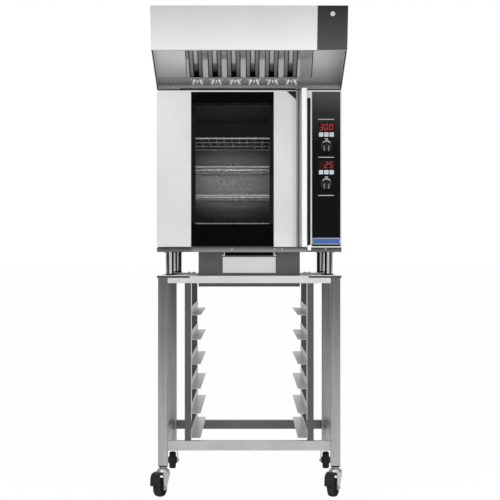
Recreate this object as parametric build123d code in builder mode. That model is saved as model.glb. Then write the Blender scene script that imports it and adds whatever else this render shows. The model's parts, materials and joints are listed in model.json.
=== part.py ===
from build123d import *
import math
import os

# Convection oven on a wheeled stand, with a ventless hood on top.
# Millimetres. +X is the viewer's right, +Y runs to the back, +Z is up.
# The origin is on the floor, under the middle of the whole unit's depth.

# Overall sizes
unit_w = 735.0
oven_d = 810.0
hood_reach = 345.0
unit_h = 1888.0
oven_body_h = 626.0
hood_pad_h = 4.0
hood_h = 267.0

# Clearances
soft_gap = 0.3
run_gap = 0.05
slide_gap = 0.4

# Stand
stand_d = 650.0
leg_size = 38.0
leg_wall = 2.0
leg_corner_r = 3.0
leg_inset = 4.5
caster_h = 122.0
top_rail_h = 29.0
top_rail_d = 32.0
rail_wall = 2.0
corner_plate_w = 131.0
corner_plate_d = 80.0
corner_plate_t = 2.0
corner_lip_h = 10.0
low_rail_z = 182.0
low_rail_h = 38.0
low_rail_t = 25.0
post_size = 25.0
post_wall = 1.5
post_inner_x = 232.0
runner_t = 1.5
runner_ledge = 38.0
runner_flange_h = 33.0
runner_pitch = 98.0
runner_first_rise = 13.0
runner_end_gap = 2.0
runner_corner_r = 12.0

# Casters
wheel_r = 38.0
wheel_tread_w = 27.0
wheel_rim_r = 31.0
wheel_crown = 2.5
wheel_web_w = 12.0
wheel_dish = 3.0
wheel_hub_r = 14.0
wheel_hub_w = 39.0
axle_r = 4.0
axle_head_r = 7.0
axle_head_t = 4.5
fork_gap = 1.2
fork_t = 3.0
fork_dome_r = 27.0
fork_dome_low_z = 86.0
fork_dome_rim = 7.0
fork_dome_top_r = 15.0
fork_axle_r = 11.0
fork_pivot_r = 7.0
fork_heel_r = 6.0
fork_heel_back = 10.0
fork_heel_rise = 4.0
stem_pin_r = 5.0
stem_pin_in = 2.0
stem_flange_t = 3.0
stem_collar_r = 16.0
stem_collar_h = 7.0
stem_plug_h = 30.0
caster_trail = 24.0
front_caster_turn = 24.0
pedal_pivot_out = 10.0
pedal_pivot_z = 92.0
pedal_pin_r = 3.0
pedal_pin_out = 1.0
pedal_hub_r = 6.0
pedal_w = 40.0
pedal_t = 3.5
pedal_reach = 48.0
pedal_flat_in = 12.0
pedal_flat_rise = 4.0
pedal_bend_drop = 12.0
pedal_lean = 1.5
pedal_low_z = 48.0

# Oven body
foot_h = 93.0
foot_r = 16.5
foot_wall = 2.0
foot_flange_r = 22.0
foot_flange_t = 3.0
foot_side_in = 49.5
foot_end_in = 35.0
foot_ring_h = 7.0
foot_ring_t = 0.6
base_pan_h = 18.0
base_pan_in = 3.0
hinge_seat_in = 19.5
hinge_seat_w = 36.0
sheet = 1.5
door_d = 58.0
seal_room = 6.0
frame_t = 2.0
rear_inset = 14.0
rear_room = 61.0
cavity_left_in = 45.5
cavity_right_in = 22.0
cavity_low_in = 39.0
cavity_top_in = 57.0
baffle_in = 55.0

# Controls column
column_w = 123.5
column_block_w = 15.5
column_block_top_h = 30.0
column_block_low_h = 8.0
column_block_d = 20.0
bezel_left = 6.0
bezel_right = 4.5
bezel_low = 5.0
bezel_top = 6.0
bezel_wall = 2.0
fascia_t = 4.0
fascia_proud = 1.0
display_w = 64.0
display_h = 36.0
window_t = 3.0
display_drop = 147.0
row_pitch = 150.0
control_in = 60.5
key_size = 17.0
key_pitch = 21.0
key_proud = 2.0
key_h = 7.0
key_corner_r = 1.5
key_edge = 0.8
key_drop = 29.5
knob_r = 23.0
knob_h = 20.0
knob_gap = 1.0
knob_shaft_r = 3.0
knob_drop = 74.0
knob_skirt_h = 7.0
knob_grip_w = 9.0
knob_crown_r = 5.0
knob_mark_w = 2.0
knob_mark_l = 9.0
board_in = 24.0
board_t = 1.6
switch_h = 4.0
switch_size = 8.0
key_travel = 0.8
encoder_r = 8.0
encoder_h = 10.0
standoff_r = 2.5
board_margin = 10.0

# Door
door_column_gap = 44.0
door_top_gap = 0.5
stile_w = 136.0
latch_stile_w = 102.0
glass_border = 6.0
glass_t = 5.0
inner_glass_margin = 16.0
inner_glass_rise = 45.0
handle_gap = 4.0
handle_w = 24.0
handle_proud = 80.0
handle_scoop_r = 16.0
handle_wall = 2.5
handle_leg_t = 3.0
handle_leg_d = 40.0
handle_nose_r = 6.0
hinge_in_x = 14.0
hinge_in_y = 30.0
hinge_pin_r = 4.0
hinge_pin_h = 12.0
hinge_plate_t = 2.0
hinge_plate_r = 10.0
notch_gap = 1.0
notch_w = 38.0
notch_h = 34.0
seal_w = 10.0
seal_margin = 5.0

# Racks
rack_count = 4
rack_first_rise = 57.0
rack_pitch = 115.0
rack_side_gap = 5.0
rack_front_in = 76.0
rack_back_gap = 18.0
rack_rod_r = 3.0
rack_bar_r = 2.0
rack_wire_r = 1.8
rack_wire_bite = 0.8
rack_wire_pitch = 32.0
rack_bars = 2
rack_corner_r = 14.0
upright_w = 20.0
upright_t = 2.0
ledge_w = 16.0
ledge_back_h = 12.0
upright_in = 90.0
upright_over = 40.0

# Circulation fan
fan_rise = 260.0
fan_r = 105.0
fan_blade_d = 32.0
fan_blade_l = 38.0
fan_disc_t = 2.0
fan_blades = 12
fan_shaft_r = 6.0
fan_shaft_gap = 2.0
fan_motor_r = 46.0
fan_motor_d = 44.0
element_ring_r = 132.0
element_tube_r = 4.0
element_pin_r = 3.0
element_gap = 30.0
baffle_hole_r = 8.0
baffle_rings = 3
baffle_ring_step = 26.0
baffle_side = 12.0
baffle_end = 22.0
fan_wall_gap = 6.0
fan_hub_r = 16.0
fan_shaft_share = 0.6
motor_ear_r = 9.0
motor_ear_out = 6.0
motor_plate_t = 3.0
motor_edge = 3.0
element_in = 30.0
element_end_angle = 255.0

# Hood
hood_front_h = 157.0
hood_front_low_reach = 298.0
hood_sheet = 1.5
hood_lip = 18.0
hood_fascia_w = 113.5
hood_button_r = 9.3
hood_button_drop = 29.0
hood_button_in = 56.9
hood_button_h = 9.0
hood_button_proud = 4.0
hood_button_ring = 3.0
hood_ring_proud = 1.0
filter_w = 507.0
filter_top_in = -75.0
filter_top_drop = 100.0
filter_low_in = 130.0
filter_low_rise = 34.0
filter_t = 24.0
filter_frame_w = 12.0
filter_slots = 6
filter_bar_w = 21.0
filter_sheet = 1.5
filter_pitch = 76.0
filter_edge = 4.0
filter_channel_w = 68.0
channel_rise = 9.0
channel_back = 2.0
gutter_lip_h = 16.0
hood_pad_in = 47.5
hood_pad_w = 40.0
hood_vent_drop = 108.0
blower_r = 110.0
blower_h = 60.0
blower_in = 380.0
blower_blades = 16
blower_motor_r = 52.0
blower_motor_h = 46.0
blower_gap = 6.0
blower_blade_angle = 35.0
vent_slot_w = 60.0
vent_slot_h = 8.0
vent_gap = 12.0
vent_columns = 3
vent_rows = 6
vent_drop = 117.0

# Drip unit
drip_w = 407.0
drip_h = 139.0
drip_front_in = 45.0
drip_d = 400.0
drip_sheet = 1.5
drawer_w = 206.0
drawer_rise = 55.0
drawer_h = 61.0
drawer_front_w = 212.0
drawer_front_h = 64.0
drawer_d = 330.0
drawer_wall = 1.5
drawer_front_t = 2.0
drip_runner_x = 70.0
drip_runner_w = 12.0
finger_slot_w = 198.0
finger_slot_h = 9.0
finger_slot_rise = 10.5

# Cable gland
gland_in = 117.5
gland_rise = 69.0
gland_bore_r = 7.0
gland_r = 12.0
gland_hex_r = 14.0
gland_l = 26.0
gland_out = 12.0
gland_hex_t = 5.0
gland_edge = 1.5

# Places worked out from the sizes above
half_w = unit_w / 2
front_y = hood_reach - (hood_reach + oven_d) / 2
back_y = front_y + oven_d
leg_x = half_w - leg_inset - leg_size / 2
leg_front_y = front_y + leg_size / 2
leg_rear_y = front_y + stand_d - leg_size / 2
hood_low_z = unit_h - hood_h
oven_top_z = hood_low_z - hood_pad_h
pan_top_z = oven_top_z - oven_body_h
oven_low_z = pan_top_z - base_pan_h
stand_top_z = oven_low_z - foot_h
leg_top_z = stand_top_z - corner_plate_t
body_front_y = front_y + door_d + seal_room + frame_t
door_z0 = pan_top_z + hinge_plate_t + door_top_gap
door_z1 = oven_top_z - door_top_gap
column_x1 = half_w
column_x0 = column_x1 - column_w
control_x = column_x1 - control_in
door_x0 = -half_w
door_x1 = column_x0 - door_column_gap
handle_x0 = door_x1 + handle_gap
handle_x1 = handle_x0 + handle_w
glass_x0 = door_x0 + stile_w
glass_x1 = door_x1 - latch_stile_w
hinge_x = door_x0 + hinge_in_x
hinge_y = front_y + hinge_in_y
cavity_x0 = door_x0 + cavity_left_in
cavity_x1 = door_x1 - cavity_right_in
cavity_w = cavity_x1 - cavity_x0
cavity_mid_x = (cavity_x0 + cavity_x1) / 2
cavity_z0 = pan_top_z + cavity_low_in
cavity_z1 = oven_top_z - cavity_top_in
cavity_h = cavity_z1 - cavity_z0
cavity_y1 = back_y - rear_room
fan_z = cavity_z0 + fan_rise
fascia_x0 = column_x0 + bezel_left
fascia_x1 = column_x1 - bezel_right
fascia_z0 = pan_top_z + bezel_low
fascia_z1 = oven_top_z - bezel_top
display_rows = (oven_top_z - display_drop, oven_top_z - display_drop - row_pitch)
display_upper_z, display_lower_z = display_rows
knob_upper_z = display_upper_z - knob_drop
knob_lower_z = display_lower_z - knob_drop

os.makedirs("parts", exist_ok=True)


def block(x0, x1, y0, y1, z0, z1, mode=Mode.ADD):
    """Add or cut the box that lies between two corners."""
    with Locations(((x0 + x1) / 2, (y0 + y1) / 2, (z0 + z1) / 2)):
        Box(x1 - x0, y1 - y0, z1 - z0, mode=mode)


def finish(piece, name):
    """Label a finished piece and write it out."""
    piece.part.label = name
    export_step(piece.part, f"parts/{name}.step")


# Stand: four square tube legs
with BuildPart() as stand_legs:
    with BuildSketch(Plane.XY.offset(caster_h)):
        for x in (-leg_x, leg_x):
            for y in (leg_front_y, leg_rear_y):
                with Locations((x, y)):
                    RectangleRounded(leg_size, leg_size, leg_corner_r)
                    Rectangle(leg_size - 2 * leg_wall, leg_size - 2 * leg_wall, mode=Mode.SUBTRACT)
    extrude(amount=leg_top_z - caster_h)
finish(stand_legs, "stand_legs")

# Stand: top rails, channels that open to the inside
leg_inner_x = leg_x - leg_size / 2
leg_gap_y0 = leg_front_y + leg_size / 2
leg_gap_y1 = leg_rear_y - leg_size / 2
top_rail_z0 = leg_top_z - top_rail_h
cross_l = 2 * leg_inner_x
side_l = leg_gap_y1 - leg_gap_y0
side_x = leg_x + leg_size / 2
rear_rail_y = front_y + stand_d
top_rails = (
    (Plane((-leg_inner_x, front_y, top_rail_z0), x_dir=(0, 1, 0), z_dir=(1, 0, 0)), cross_l),
    (Plane((leg_inner_x, rear_rail_y, top_rail_z0), x_dir=(0, -1, 0), z_dir=(-1, 0, 0)), cross_l),
    (Plane((-side_x, leg_gap_y1, top_rail_z0), x_dir=(1, 0, 0), z_dir=(0, -1, 0)), side_l),
    (Plane((side_x, leg_gap_y0, top_rail_z0), x_dir=(-1, 0, 0), z_dir=(0, 1, 0)), side_l),
)
with BuildPart() as stand_top_rails:
    for rail_plane, length in top_rails:
        with BuildSketch(rail_plane):
            with Locations((top_rail_d / 2, top_rail_h / 2)):
                Rectangle(top_rail_d, top_rail_h)
            with Locations(((top_rail_d + rail_wall) / 2, top_rail_h / 2)):
                Rectangle(top_rail_d - rail_wall, top_rail_h - 2 * rail_wall, mode=Mode.SUBTRACT)
        extrude(amount=length)
finish(stand_top_rails, "stand_top_rails")

# Stand: corner plates with a turned-down lip in front and at the side
with BuildPart() as stand_corner_plates:
    for sx in (-1, 1):
        for sy, edge_y in ((1, front_y), (-1, front_y + stand_d)):
            edge_x = sx * half_w
            x0, x1 = sorted((edge_x, edge_x - sx * corner_plate_w))
            y0, y1 = sorted((edge_y - sy * corner_plate_t, edge_y + sy * corner_plate_d))
            block(x0, x1, y0, y1, leg_top_z, stand_top_z)
            y0, y1 = sorted((edge_y - sy * corner_plate_t, edge_y))
            block(x0, x1, y0, y1, stand_top_z - corner_lip_h, stand_top_z)
finish(stand_corner_plates, "stand_corner_plates")

# Stand: bottom rails, rectangular tubes
low_rail_z1 = low_rail_z + low_rail_h
low_mid_z = low_rail_z + low_rail_h / 2
low_rails = [
    (Plane((-leg_inner_x, y, low_mid_z), x_dir=(0, 1, 0), z_dir=(1, 0, 0)), cross_l)
    for y in (leg_front_y, leg_rear_y)
] + [
    (Plane((x, leg_gap_y1, low_mid_z), x_dir=(1, 0, 0), z_dir=(0, -1, 0)), side_l)
    for x in (-leg_x, leg_x)
]
with BuildPart() as stand_bottom_rails:
    for rail_plane, length in low_rails:
        with BuildSketch(rail_plane):
            Rectangle(low_rail_t, low_rail_h)
            Rectangle(low_rail_t - 2 * post_wall, low_rail_h - 2 * post_wall, mode=Mode.SUBTRACT)
        extrude(amount=length)
finish(stand_bottom_rails, "stand_bottom_rails")

# Stand: posts that carry the tray runners
post_x = post_inner_x + post_size / 2
with BuildPart() as runner_posts:
    with BuildSketch(Plane.XY.offset(low_rail_z1)):
        for x in (-post_x, post_x):
            for y in (leg_front_y, leg_rear_y):
                with Locations((x, y)):
                    Rectangle(post_size, post_size)
                    Rectangle(post_size - 2 * post_wall, post_size - 2 * post_wall, mode=Mode.SUBTRACT)
    extrude(amount=top_rail_z0 - low_rail_z1)
finish(runner_posts, "runner_posts")


# Stand: six angle runners a side, with the ledges pointing to the middle
runner_y0 = front_y + runner_end_gap
runner_l = stand_d - 2 * runner_end_gap
runner_first_z = low_rail_z1 + runner_first_rise
runner_room = top_rail_z0 - runner_flange_h - runner_first_z
runner_levels = [runner_first_z + step * runner_pitch for step in range(int(runner_room / runner_pitch) + 1)]
with BuildPart() as tray_runners:
    for side in (-1, 1):
        wall_x = side * post_inner_x
        flange_x0, flange_x1 = sorted((wall_x, wall_x - side * runner_t))
        for z in runner_levels:
            with BuildSketch(Plane.XY.offset(z - runner_t)) as ledge:
                with Locations((wall_x - side * runner_ledge / 2, runner_y0 + runner_l / 2)):
                    Rectangle(runner_ledge, runner_l)
                ends = ledge.vertices().group_by(Axis.X)
                fillet(ends[0] if side > 0 else ends[-1], runner_corner_r)
            extrude(amount=runner_t)
            block(flange_x0, flange_x1, runner_y0, runner_y0 + runner_l,
                  z - runner_t, z - runner_t + runner_flange_h)
finish(tray_runners, "tray_runners")

# Casters: where they stand and which way they trail
fork_in = wheel_hub_w / 2 + fork_gap
fork_out = fork_in + fork_t
dome_top_z = caster_h - stem_flange_t - stem_collar_h - soft_gap
turn = math.radians(front_caster_turn)
front_trail = (-math.sin(turn), -math.cos(turn))
casters = (
    ("front_left", -leg_x, leg_front_y, front_trail, True),
    ("front_right", leg_x, leg_front_y, front_trail, True),
    ("rear_left", -leg_x, leg_rear_y, (0.0, 1.0), False),
    ("rear_right", leg_x, leg_rear_y, (0.0, 1.0), False),
)

with BuildPart() as caster_stems:
    for _, cx, cy, _, _ in casters:
        with BuildSketch(Plane.XY.offset(caster_h)):
            with Locations((cx, cy)):
                plug = leg_size - 2 * leg_wall - 2 * soft_gap
                Rectangle(plug, plug)
        extrude(amount=stem_plug_h)
        with BuildSketch(Plane.XY.offset(caster_h - stem_flange_t)):
            with Locations((cx, cy)):
                RectangleRounded(leg_size, leg_size, leg_corner_r)
        extrude(amount=stem_flange_t)
        with BuildSketch(Plane.XY.offset(dome_top_z + soft_gap)):
            with Locations((cx, cy)):
                Circle(stem_collar_r)
        extrude(amount=stem_collar_h)
        with BuildSketch(Plane.XY.offset(fork_dome_low_z + stem_pin_in)):
            with Locations((cx, cy)):
                Circle(stem_pin_r)
        extrude(amount=caster_h - fork_dome_low_z - stem_pin_in)
finish(caster_stems, "caster_stems")


def side_plane(cx, cy, trail, shift=0.0):
    """The plane of a caster's side view: +X along the trail, +Y up."""
    normal = (trail[1], -trail[0], 0.0)
    plane = Plane((cx, cy, 0.0), x_dir=(trail[0], trail[1], 0.0), z_dir=normal)
    return plane.offset(shift)


def caster_fork(cx, cy, trail, braked):
    """A pressed fork with a domed swivel top, and its axle bolt."""
    pivot = caster_trail + pedal_pivot_out
    bore_r = stem_pin_r + run_gap
    with BuildPart() as fork:
        with BuildSketch(side_plane(cx, cy, trail)):
            with BuildLine():
                rim_top = (fork_dome_r, fork_dome_low_z + fork_dome_rim)
                crown = (fork_dome_top_r, dome_top_z)
                Line((bore_r, fork_dome_low_z), (fork_dome_r, fork_dome_low_z))
                Line((fork_dome_r, fork_dome_low_z), rim_top)
                TangentArc(rim_top, crown, tangent=(0, 1))
                Line(crown, (bore_r, dome_top_z))
                Line((bore_r, dome_top_z), (bore_r, fork_dome_low_z))
            make_face()
        revolve(axis=Axis((cx, cy, 0), (0, 0, 1)))
        for sign in (-1, 1):
            with BuildSketch(side_plane(cx, cy, trail, sign * (fork_in + fork_t / 2))):
                with Locations((caster_trail, wheel_r)):
                    Circle(fork_axle_r)
                with Locations((pivot, pedal_pivot_z)):
                    Circle(fork_pivot_r)
                with Locations((-fork_heel_back, fork_dome_low_z + fork_heel_rise)):
                    Circle(fork_heel_r)
                make_hull()
                with Locations((caster_trail, wheel_r)):
                    Circle(axle_r + slide_gap / 2, mode=Mode.SUBTRACT)
            extrude(amount=fork_t / 2, both=True)
        if braked:
            with BuildSketch(side_plane(cx, cy, trail)):
                with Locations((pivot, pedal_pivot_z)):
                    Circle(pedal_pin_r)
            extrude(amount=fork_out + pedal_pin_out, both=True)
        with BuildSketch(side_plane(cx, cy, trail)):
            with Locations((caster_trail, wheel_r)):
                Circle(axle_r)
        extrude(amount=fork_out + soft_gap + axle_head_t, both=True)
        for sign in (-1, 1):
            with BuildSketch(side_plane(cx, cy, trail, sign * (fork_out + soft_gap + axle_head_t / 2))):
                with Locations((caster_trail, wheel_r)):
                    RegularPolygon(axle_head_r, 6)
            extrude(amount=axle_head_t / 2, both=True)
    return fork


def caster_wheel(cx, cy, trail):
    """A dished wheel with a crowned tread, turned about its axle."""
    centre = Vector(cx + caster_trail * trail[0], cy + caster_trail * trail[1], wheel_r)
    axle_dir = (trail[1], -trail[0], 0.0)
    plane = Plane(centre, x_dir=axle_dir, z_dir=(trail[0], trail[1], 0.0))
    up = 1 if plane.y_dir.Z > 0 else -1
    half_tread = wheel_tread_w / 2
    shoulder_r = wheel_r - wheel_crown
    half_web = wheel_web_w / 2
    half_hub = wheel_hub_w / 2
    with BuildPart() as wheel:
        with BuildSketch(plane):
            with BuildLine():
                Polyline(
                    (half_tread, up * shoulder_r),
                    (half_tread, up * wheel_rim_r),
                    (half_web, up * (wheel_rim_r - wheel_dish)),
                    (half_web, up * (wheel_hub_r + wheel_dish)),
                    (half_hub, up * wheel_hub_r),
                    (half_hub, up * (axle_r + run_gap)),
                    (-half_hub, up * (axle_r + run_gap)),
                    (-half_hub, up * wheel_hub_r),
                    (-half_web, up * (wheel_hub_r + wheel_dish)),
                    (-half_web, up * (wheel_rim_r - wheel_dish)),
                    (-half_tread, up * wheel_rim_r),
                    (-half_tread, up * shoulder_r),
                )
                ThreePointArc((-half_tread, up * shoulder_r), (0, up * wheel_r),
                              (half_tread, up * shoulder_r))
            make_face()
        revolve(axis=Axis(centre, axle_dir))
    return wheel


def brake_pedal(cx, cy, trail):
    """A pressed pedal that turns on its pin between the fork's cheeks."""
    pivot = caster_trail + pedal_pivot_out
    tip = caster_trail + pedal_reach
    hub_w = 2 * (fork_in - slide_gap)
    with BuildPart() as pedal:
        with BuildSketch(side_plane(cx, cy, trail)):
            with Locations((pivot, pedal_pivot_z)):
                Circle(pedal_hub_r)
        extrude(amount=hub_w / 2, both=True)
        with BuildSketch(side_plane(cx, cy, trail)):
            with BuildLine():
                Polyline(
                    (pivot, pedal_pivot_z + pedal_hub_r),
                    (tip - pedal_flat_in, pedal_pivot_z + pedal_flat_rise),
                    (tip - pedal_lean, pedal_pivot_z - pedal_bend_drop),
                    (tip, pedal_low_z),
                    (tip - pedal_t, pedal_low_z),
                    (tip - pedal_t - pedal_lean, pedal_pivot_z - pedal_bend_drop - pedal_lean),
                    (tip - pedal_flat_in - pedal_lean, pedal_pivot_z + pedal_flat_rise - pedal_t),
                    (pivot, pedal_pivot_z + pedal_hub_r - pedal_t),
                    close=True,
                )
            make_face()
        extrude(amount=pedal_w / 2, both=True)
        with BuildSketch(side_plane(cx, cy, trail)):
            with Locations((pivot, pedal_pivot_z)):
                Circle(pedal_pin_r + run_gap)
        extrude(amount=pedal_w, both=True, mode=Mode.SUBTRACT)
    return pedal


for name, cx, cy, trail, braked in casters:
    fork = caster_fork(cx, cy, trail, braked)
    finish(fork, f"caster_fork_{name}")
    wheel = caster_wheel(cx, cy, trail)
    finish(wheel, f"caster_wheel_{name}")
    if braked:
        pedal = brake_pedal(cx, cy, trail)
        finish(pedal, f"brake_pedal_{name}")

# Oven: four chrome tube feet
foot_x = half_w - foot_side_in
oven_feet_y = (front_y + foot_end_in, front_y + stand_d - foot_end_in)
with BuildPart() as oven_feet:
    for x in (-foot_x, foot_x):
        for y in oven_feet_y:
            with BuildSketch(Plane.XY.offset(stand_top_z)):
                with Locations((x, y)):
                    Circle(foot_r)
                    Circle(foot_r - foot_wall, mode=Mode.SUBTRACT)
            extrude(amount=foot_h)
            with BuildSketch(Plane.XY.offset(stand_top_z)):
                with Locations((x, y)):
                    Circle(foot_r + foot_ring_t)
            extrude(amount=foot_ring_h)
            with BuildSketch(Plane.XY.offset(oven_low_z - foot_flange_t)):
                with Locations((x, y)):
                    Circle(foot_flange_r)
            extrude(amount=foot_flange_t)
finish(oven_feet, "oven_feet")

# Oven: folded base pan
with BuildPart() as base_pan:
    pan_y0 = front_y + base_pan_in
    block(-half_w, half_w, pan_y0, back_y, oven_low_z, pan_top_z)
    block(-half_w + sheet, half_w - sheet, pan_y0 + sheet, back_y - sheet,
          oven_low_z + sheet, pan_top_z, mode=Mode.SUBTRACT)
    hinge_seat_x = half_w - hinge_seat_in
    for x in (-hinge_seat_x, hinge_seat_x):
        block(x - hinge_seat_w / 2, x + hinge_seat_w / 2, pan_y0, body_front_y + hinge_seat_w,
              oven_low_z, pan_top_z)
finish(base_pan, "base_pan")

# Oven: outer casing, folded over the sides and the top
with BuildPart() as oven_casing:
    with BuildSketch(Plane((0, body_front_y, 0), x_dir=(1, 0, 0), z_dir=(0, -1, 0))):
        with Locations((0, (pan_top_z + oven_top_z) / 2)):
            Rectangle(unit_w, oven_top_z - pan_top_z)
        with Locations((0, (pan_top_z + oven_top_z - sheet) / 2)):
            Rectangle(unit_w - 2 * sheet, oven_top_z - sheet - pan_top_z, mode=Mode.SUBTRACT)
    extrude(amount=-(back_y - body_front_y))
finish(oven_casing, "oven_casing")

# Oven: rear panel with louvre slots and the cable hole
rear_y = back_y - rear_inset
gland_x = half_w - gland_in
gland_z = pan_top_z + gland_rise
with BuildPart() as rear_panel:
    with BuildSketch(Plane((0, rear_y, 0), x_dir=(-1, 0, 0), z_dir=(0, 1, 0))):
        with Locations((0, (pan_top_z + oven_top_z - sheet) / 2)):
            Rectangle(unit_w - 2 * sheet, oven_top_z - sheet - pan_top_z)
        with Locations((-gland_x, gland_z)):
            Circle(gland_r + soft_gap, mode=Mode.SUBTRACT)
        with Locations((0, oven_top_z - vent_drop)):
            with GridLocations(vent_slot_w + vent_gap, vent_slot_h + vent_gap, vent_columns, vent_rows):
                SlotOverall(vent_slot_w, vent_slot_h, mode=Mode.SUBTRACT)
    extrude(amount=-sheet)
finish(rear_panel, "rear_panel")

# Oven: cable gland in the rear panel
with BuildPart() as cable_gland:
    gland_plane = Plane((gland_x, rear_y, gland_z), x_dir=(1, 0, 0), z_dir=(0, 1, 0))
    with BuildSketch(gland_plane.offset(gland_out - gland_l)):
        Circle(gland_r)
    extrude(amount=gland_l)
    with BuildSketch(gland_plane):
        RegularPolygon(gland_hex_r, 6)
    extrude(amount=gland_hex_t)
    with BuildSketch(gland_plane.offset(-sheet - gland_hex_t)):
        RegularPolygon(gland_hex_r, 6)
    extrude(amount=gland_hex_t)
    chamfer(cable_gland.faces().sort_by(Axis.Y)[-1].edges(), gland_edge)
    with Locations(gland_plane):
        Hole(gland_bore_r)
finish(cable_gland, "cable_gland")

# Oven: cavity liner, open to the front, with the flat frame round its mouth
frame_y0 = body_front_y - frame_t
with BuildPart() as cavity_liner:
    block(-half_w, half_w, frame_y0, body_front_y, pan_top_z, oven_top_z)
    block(cavity_x0 - sheet, cavity_x1 + sheet, body_front_y, cavity_y1 + sheet,
          cavity_z0 - sheet, cavity_z1 + sheet)
    block(cavity_x0, cavity_x1, frame_y0, cavity_y1, cavity_z0, cavity_z1, mode=Mode.SUBTRACT)
    with BuildSketch(Plane((cavity_mid_x, cavity_y1, fan_z), x_dir=(1, 0, 0), z_dir=(0, 1, 0))):
        Circle(fan_shaft_r + fan_shaft_gap)
    extrude(amount=sheet, mode=Mode.SUBTRACT)
finish(cavity_liner, "cavity_liner")

# Oven: rubber seal round the mouth
with BuildPart() as door_seal:
    mouth_mid = (cavity_mid_x, frame_y0, (cavity_z0 + cavity_z1) / 2)
    with BuildSketch(Plane(mouth_mid, x_dir=(1, 0, 0), z_dir=(0, -1, 0))):
        for out, mode in ((seal_margin + seal_w, Mode.ADD), (seal_margin, Mode.SUBTRACT)):
            RectangleRounded(cavity_w + 2 * out, cavity_h + 2 * out, out, mode=mode)
    extrude(amount=seal_room - soft_gap)
finish(door_seal, "door_seal")

# Oven: hinge plates and pins at the door's lower and upper corners
hinge_plates = (
    (pan_top_z, 1, body_front_y - frame_t),
    (oven_top_z, -1, body_front_y + hinge_seat_w),
)
with BuildPart() as door_hinges:
    for plate_z, pin_dir, plate_end_y in hinge_plates:
        with BuildSketch(Plane.XY.offset(plate_z)):
            with Locations((hinge_x, hinge_y)):
                Circle(hinge_plate_r)
            with Locations((hinge_x, plate_end_y - hinge_plate_t / 2)):
                Rectangle(2 * hinge_plate_r, hinge_plate_t)
            make_hull()
        extrude(amount=hinge_plate_t)
        pin_l = hinge_pin_h + (hinge_plate_t if pin_dir > 0 else 0.0)
        with BuildSketch(Plane.XY.offset(plate_z)):
            with Locations((hinge_x, hinge_y)):
                Circle(hinge_pin_r)
        extrude(amount=pin_dir * pin_l)
finish(door_hinges, "door_hinges")

# Controls: stainless surround with the two end blocks of the door's slot
with BuildPart() as control_bezel:
    block(column_x0, column_x1, front_y, frame_y0, pan_top_z, oven_top_z)
    block(column_x0 + bezel_wall, column_x1 - bezel_wall, front_y + bezel_wall, frame_y0,
          pan_top_z + bezel_wall, oven_top_z - bezel_wall, mode=Mode.SUBTRACT)
    block(fascia_x0, fascia_x1, front_y, front_y + bezel_wall, fascia_z0, fascia_z1, mode=Mode.SUBTRACT)
with BuildPart() as bezel_ends:
    block_x0 = column_x0 - column_block_w
    block(block_x0, column_x0, front_y, front_y + column_block_d, oven_top_z - column_block_top_h, oven_top_z)
    block(block_x0, column_x0, front_y, front_y + column_block_d, pan_top_z, pan_top_z + column_block_low_h)
control_bezel.part = Compound(children=[*control_bezel.part.solids(), *bezel_ends.part.solids()])
finish(control_bezel, "control_bezel")

# Controls: black fascia with holes for keys, displays and knob shafts
fascia_y0 = front_y - fascia_proud
key_rows = (("upper", display_upper_z - key_drop), ("lower", display_lower_z - key_drop))
key_columns = (("left", -1), ("middle", 0), ("right", 1))
knob_rows = (("upper", knob_upper_z), ("lower", knob_lower_z))
fascia_plane = Plane((0, fascia_y0, 0), x_dir=(1, 0, 0), z_dir=(0, -1, 0))
with BuildPart() as control_fascia:
    with BuildSketch(fascia_plane):
        with Locations(((fascia_x0 + fascia_x1) / 2, (fascia_z0 + fascia_z1) / 2)):
            Rectangle(fascia_x1 - fascia_x0 - 2 * soft_gap, fascia_z1 - fascia_z0 - 2 * soft_gap)
        for _, z in key_rows:
            with Locations((control_x, z)):
                with GridLocations(key_pitch, 1, 3, 1):
                    Rectangle(key_size + 2 * slide_gap, key_size + 2 * slide_gap, mode=Mode.SUBTRACT)
        with Locations(*[(control_x, z) for _, z in knob_rows]):
            Circle(knob_shaft_r + slide_gap, mode=Mode.SUBTRACT)
        with Locations(*[(control_x, z) for z in display_rows]):
            Rectangle(display_w, display_h, mode=Mode.SUBTRACT)
    extrude(amount=-fascia_t)
finish(control_fascia, "control_fascia")

# Controls: two dark windows over the digits
with BuildPart() as display_windows:
    with BuildSketch(fascia_plane):
        with Locations(*[(control_x, z) for z in display_rows]):
            Rectangle(display_w - 2 * soft_gap, display_h - 2 * soft_gap)
    extrude(amount=-window_t)
finish(display_windows, "display_windows")

# Controls: board with a switch behind each key and an encoder behind each knob
board_y = front_y + board_in
fascia_back_y = fascia_y0 + fascia_t
board_plane = Plane((0, board_y, 0), x_dir=(1, 0, 0), z_dir=(0, -1, 0))
with BuildPart() as control_board:
    with BuildSketch(board_plane):
        with Locations((control_x, (knob_lower_z + display_upper_z) / 2)):
            Rectangle(display_w + 2 * board_margin, display_upper_z - knob_lower_z + 4 * board_margin)
    extrude(amount=-board_t)
    with BuildSketch(board_plane):
        for _, z in key_rows:
            with Locations((control_x, z)):
                with GridLocations(key_pitch, 1, 3, 1):
                    Rectangle(switch_size, switch_size)
    extrude(amount=switch_h)
    with BuildSketch(board_plane):
        with Locations(*[(control_x, z) for _, z in knob_rows]):
            Circle(encoder_r)
            Circle(knob_shaft_r + run_gap, mode=Mode.SUBTRACT)
    extrude(amount=encoder_h)
    with BuildSketch(board_plane):
        for z in (knob_lower_z - board_margin, display_upper_z + board_margin):
            with Locations((control_x, z)):
                with GridLocations(display_w + board_margin, 1, 2, 1):
                    Circle(standoff_r)
    extrude(amount=board_y - fascia_back_y)
finish(control_board, "control_board")


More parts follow.
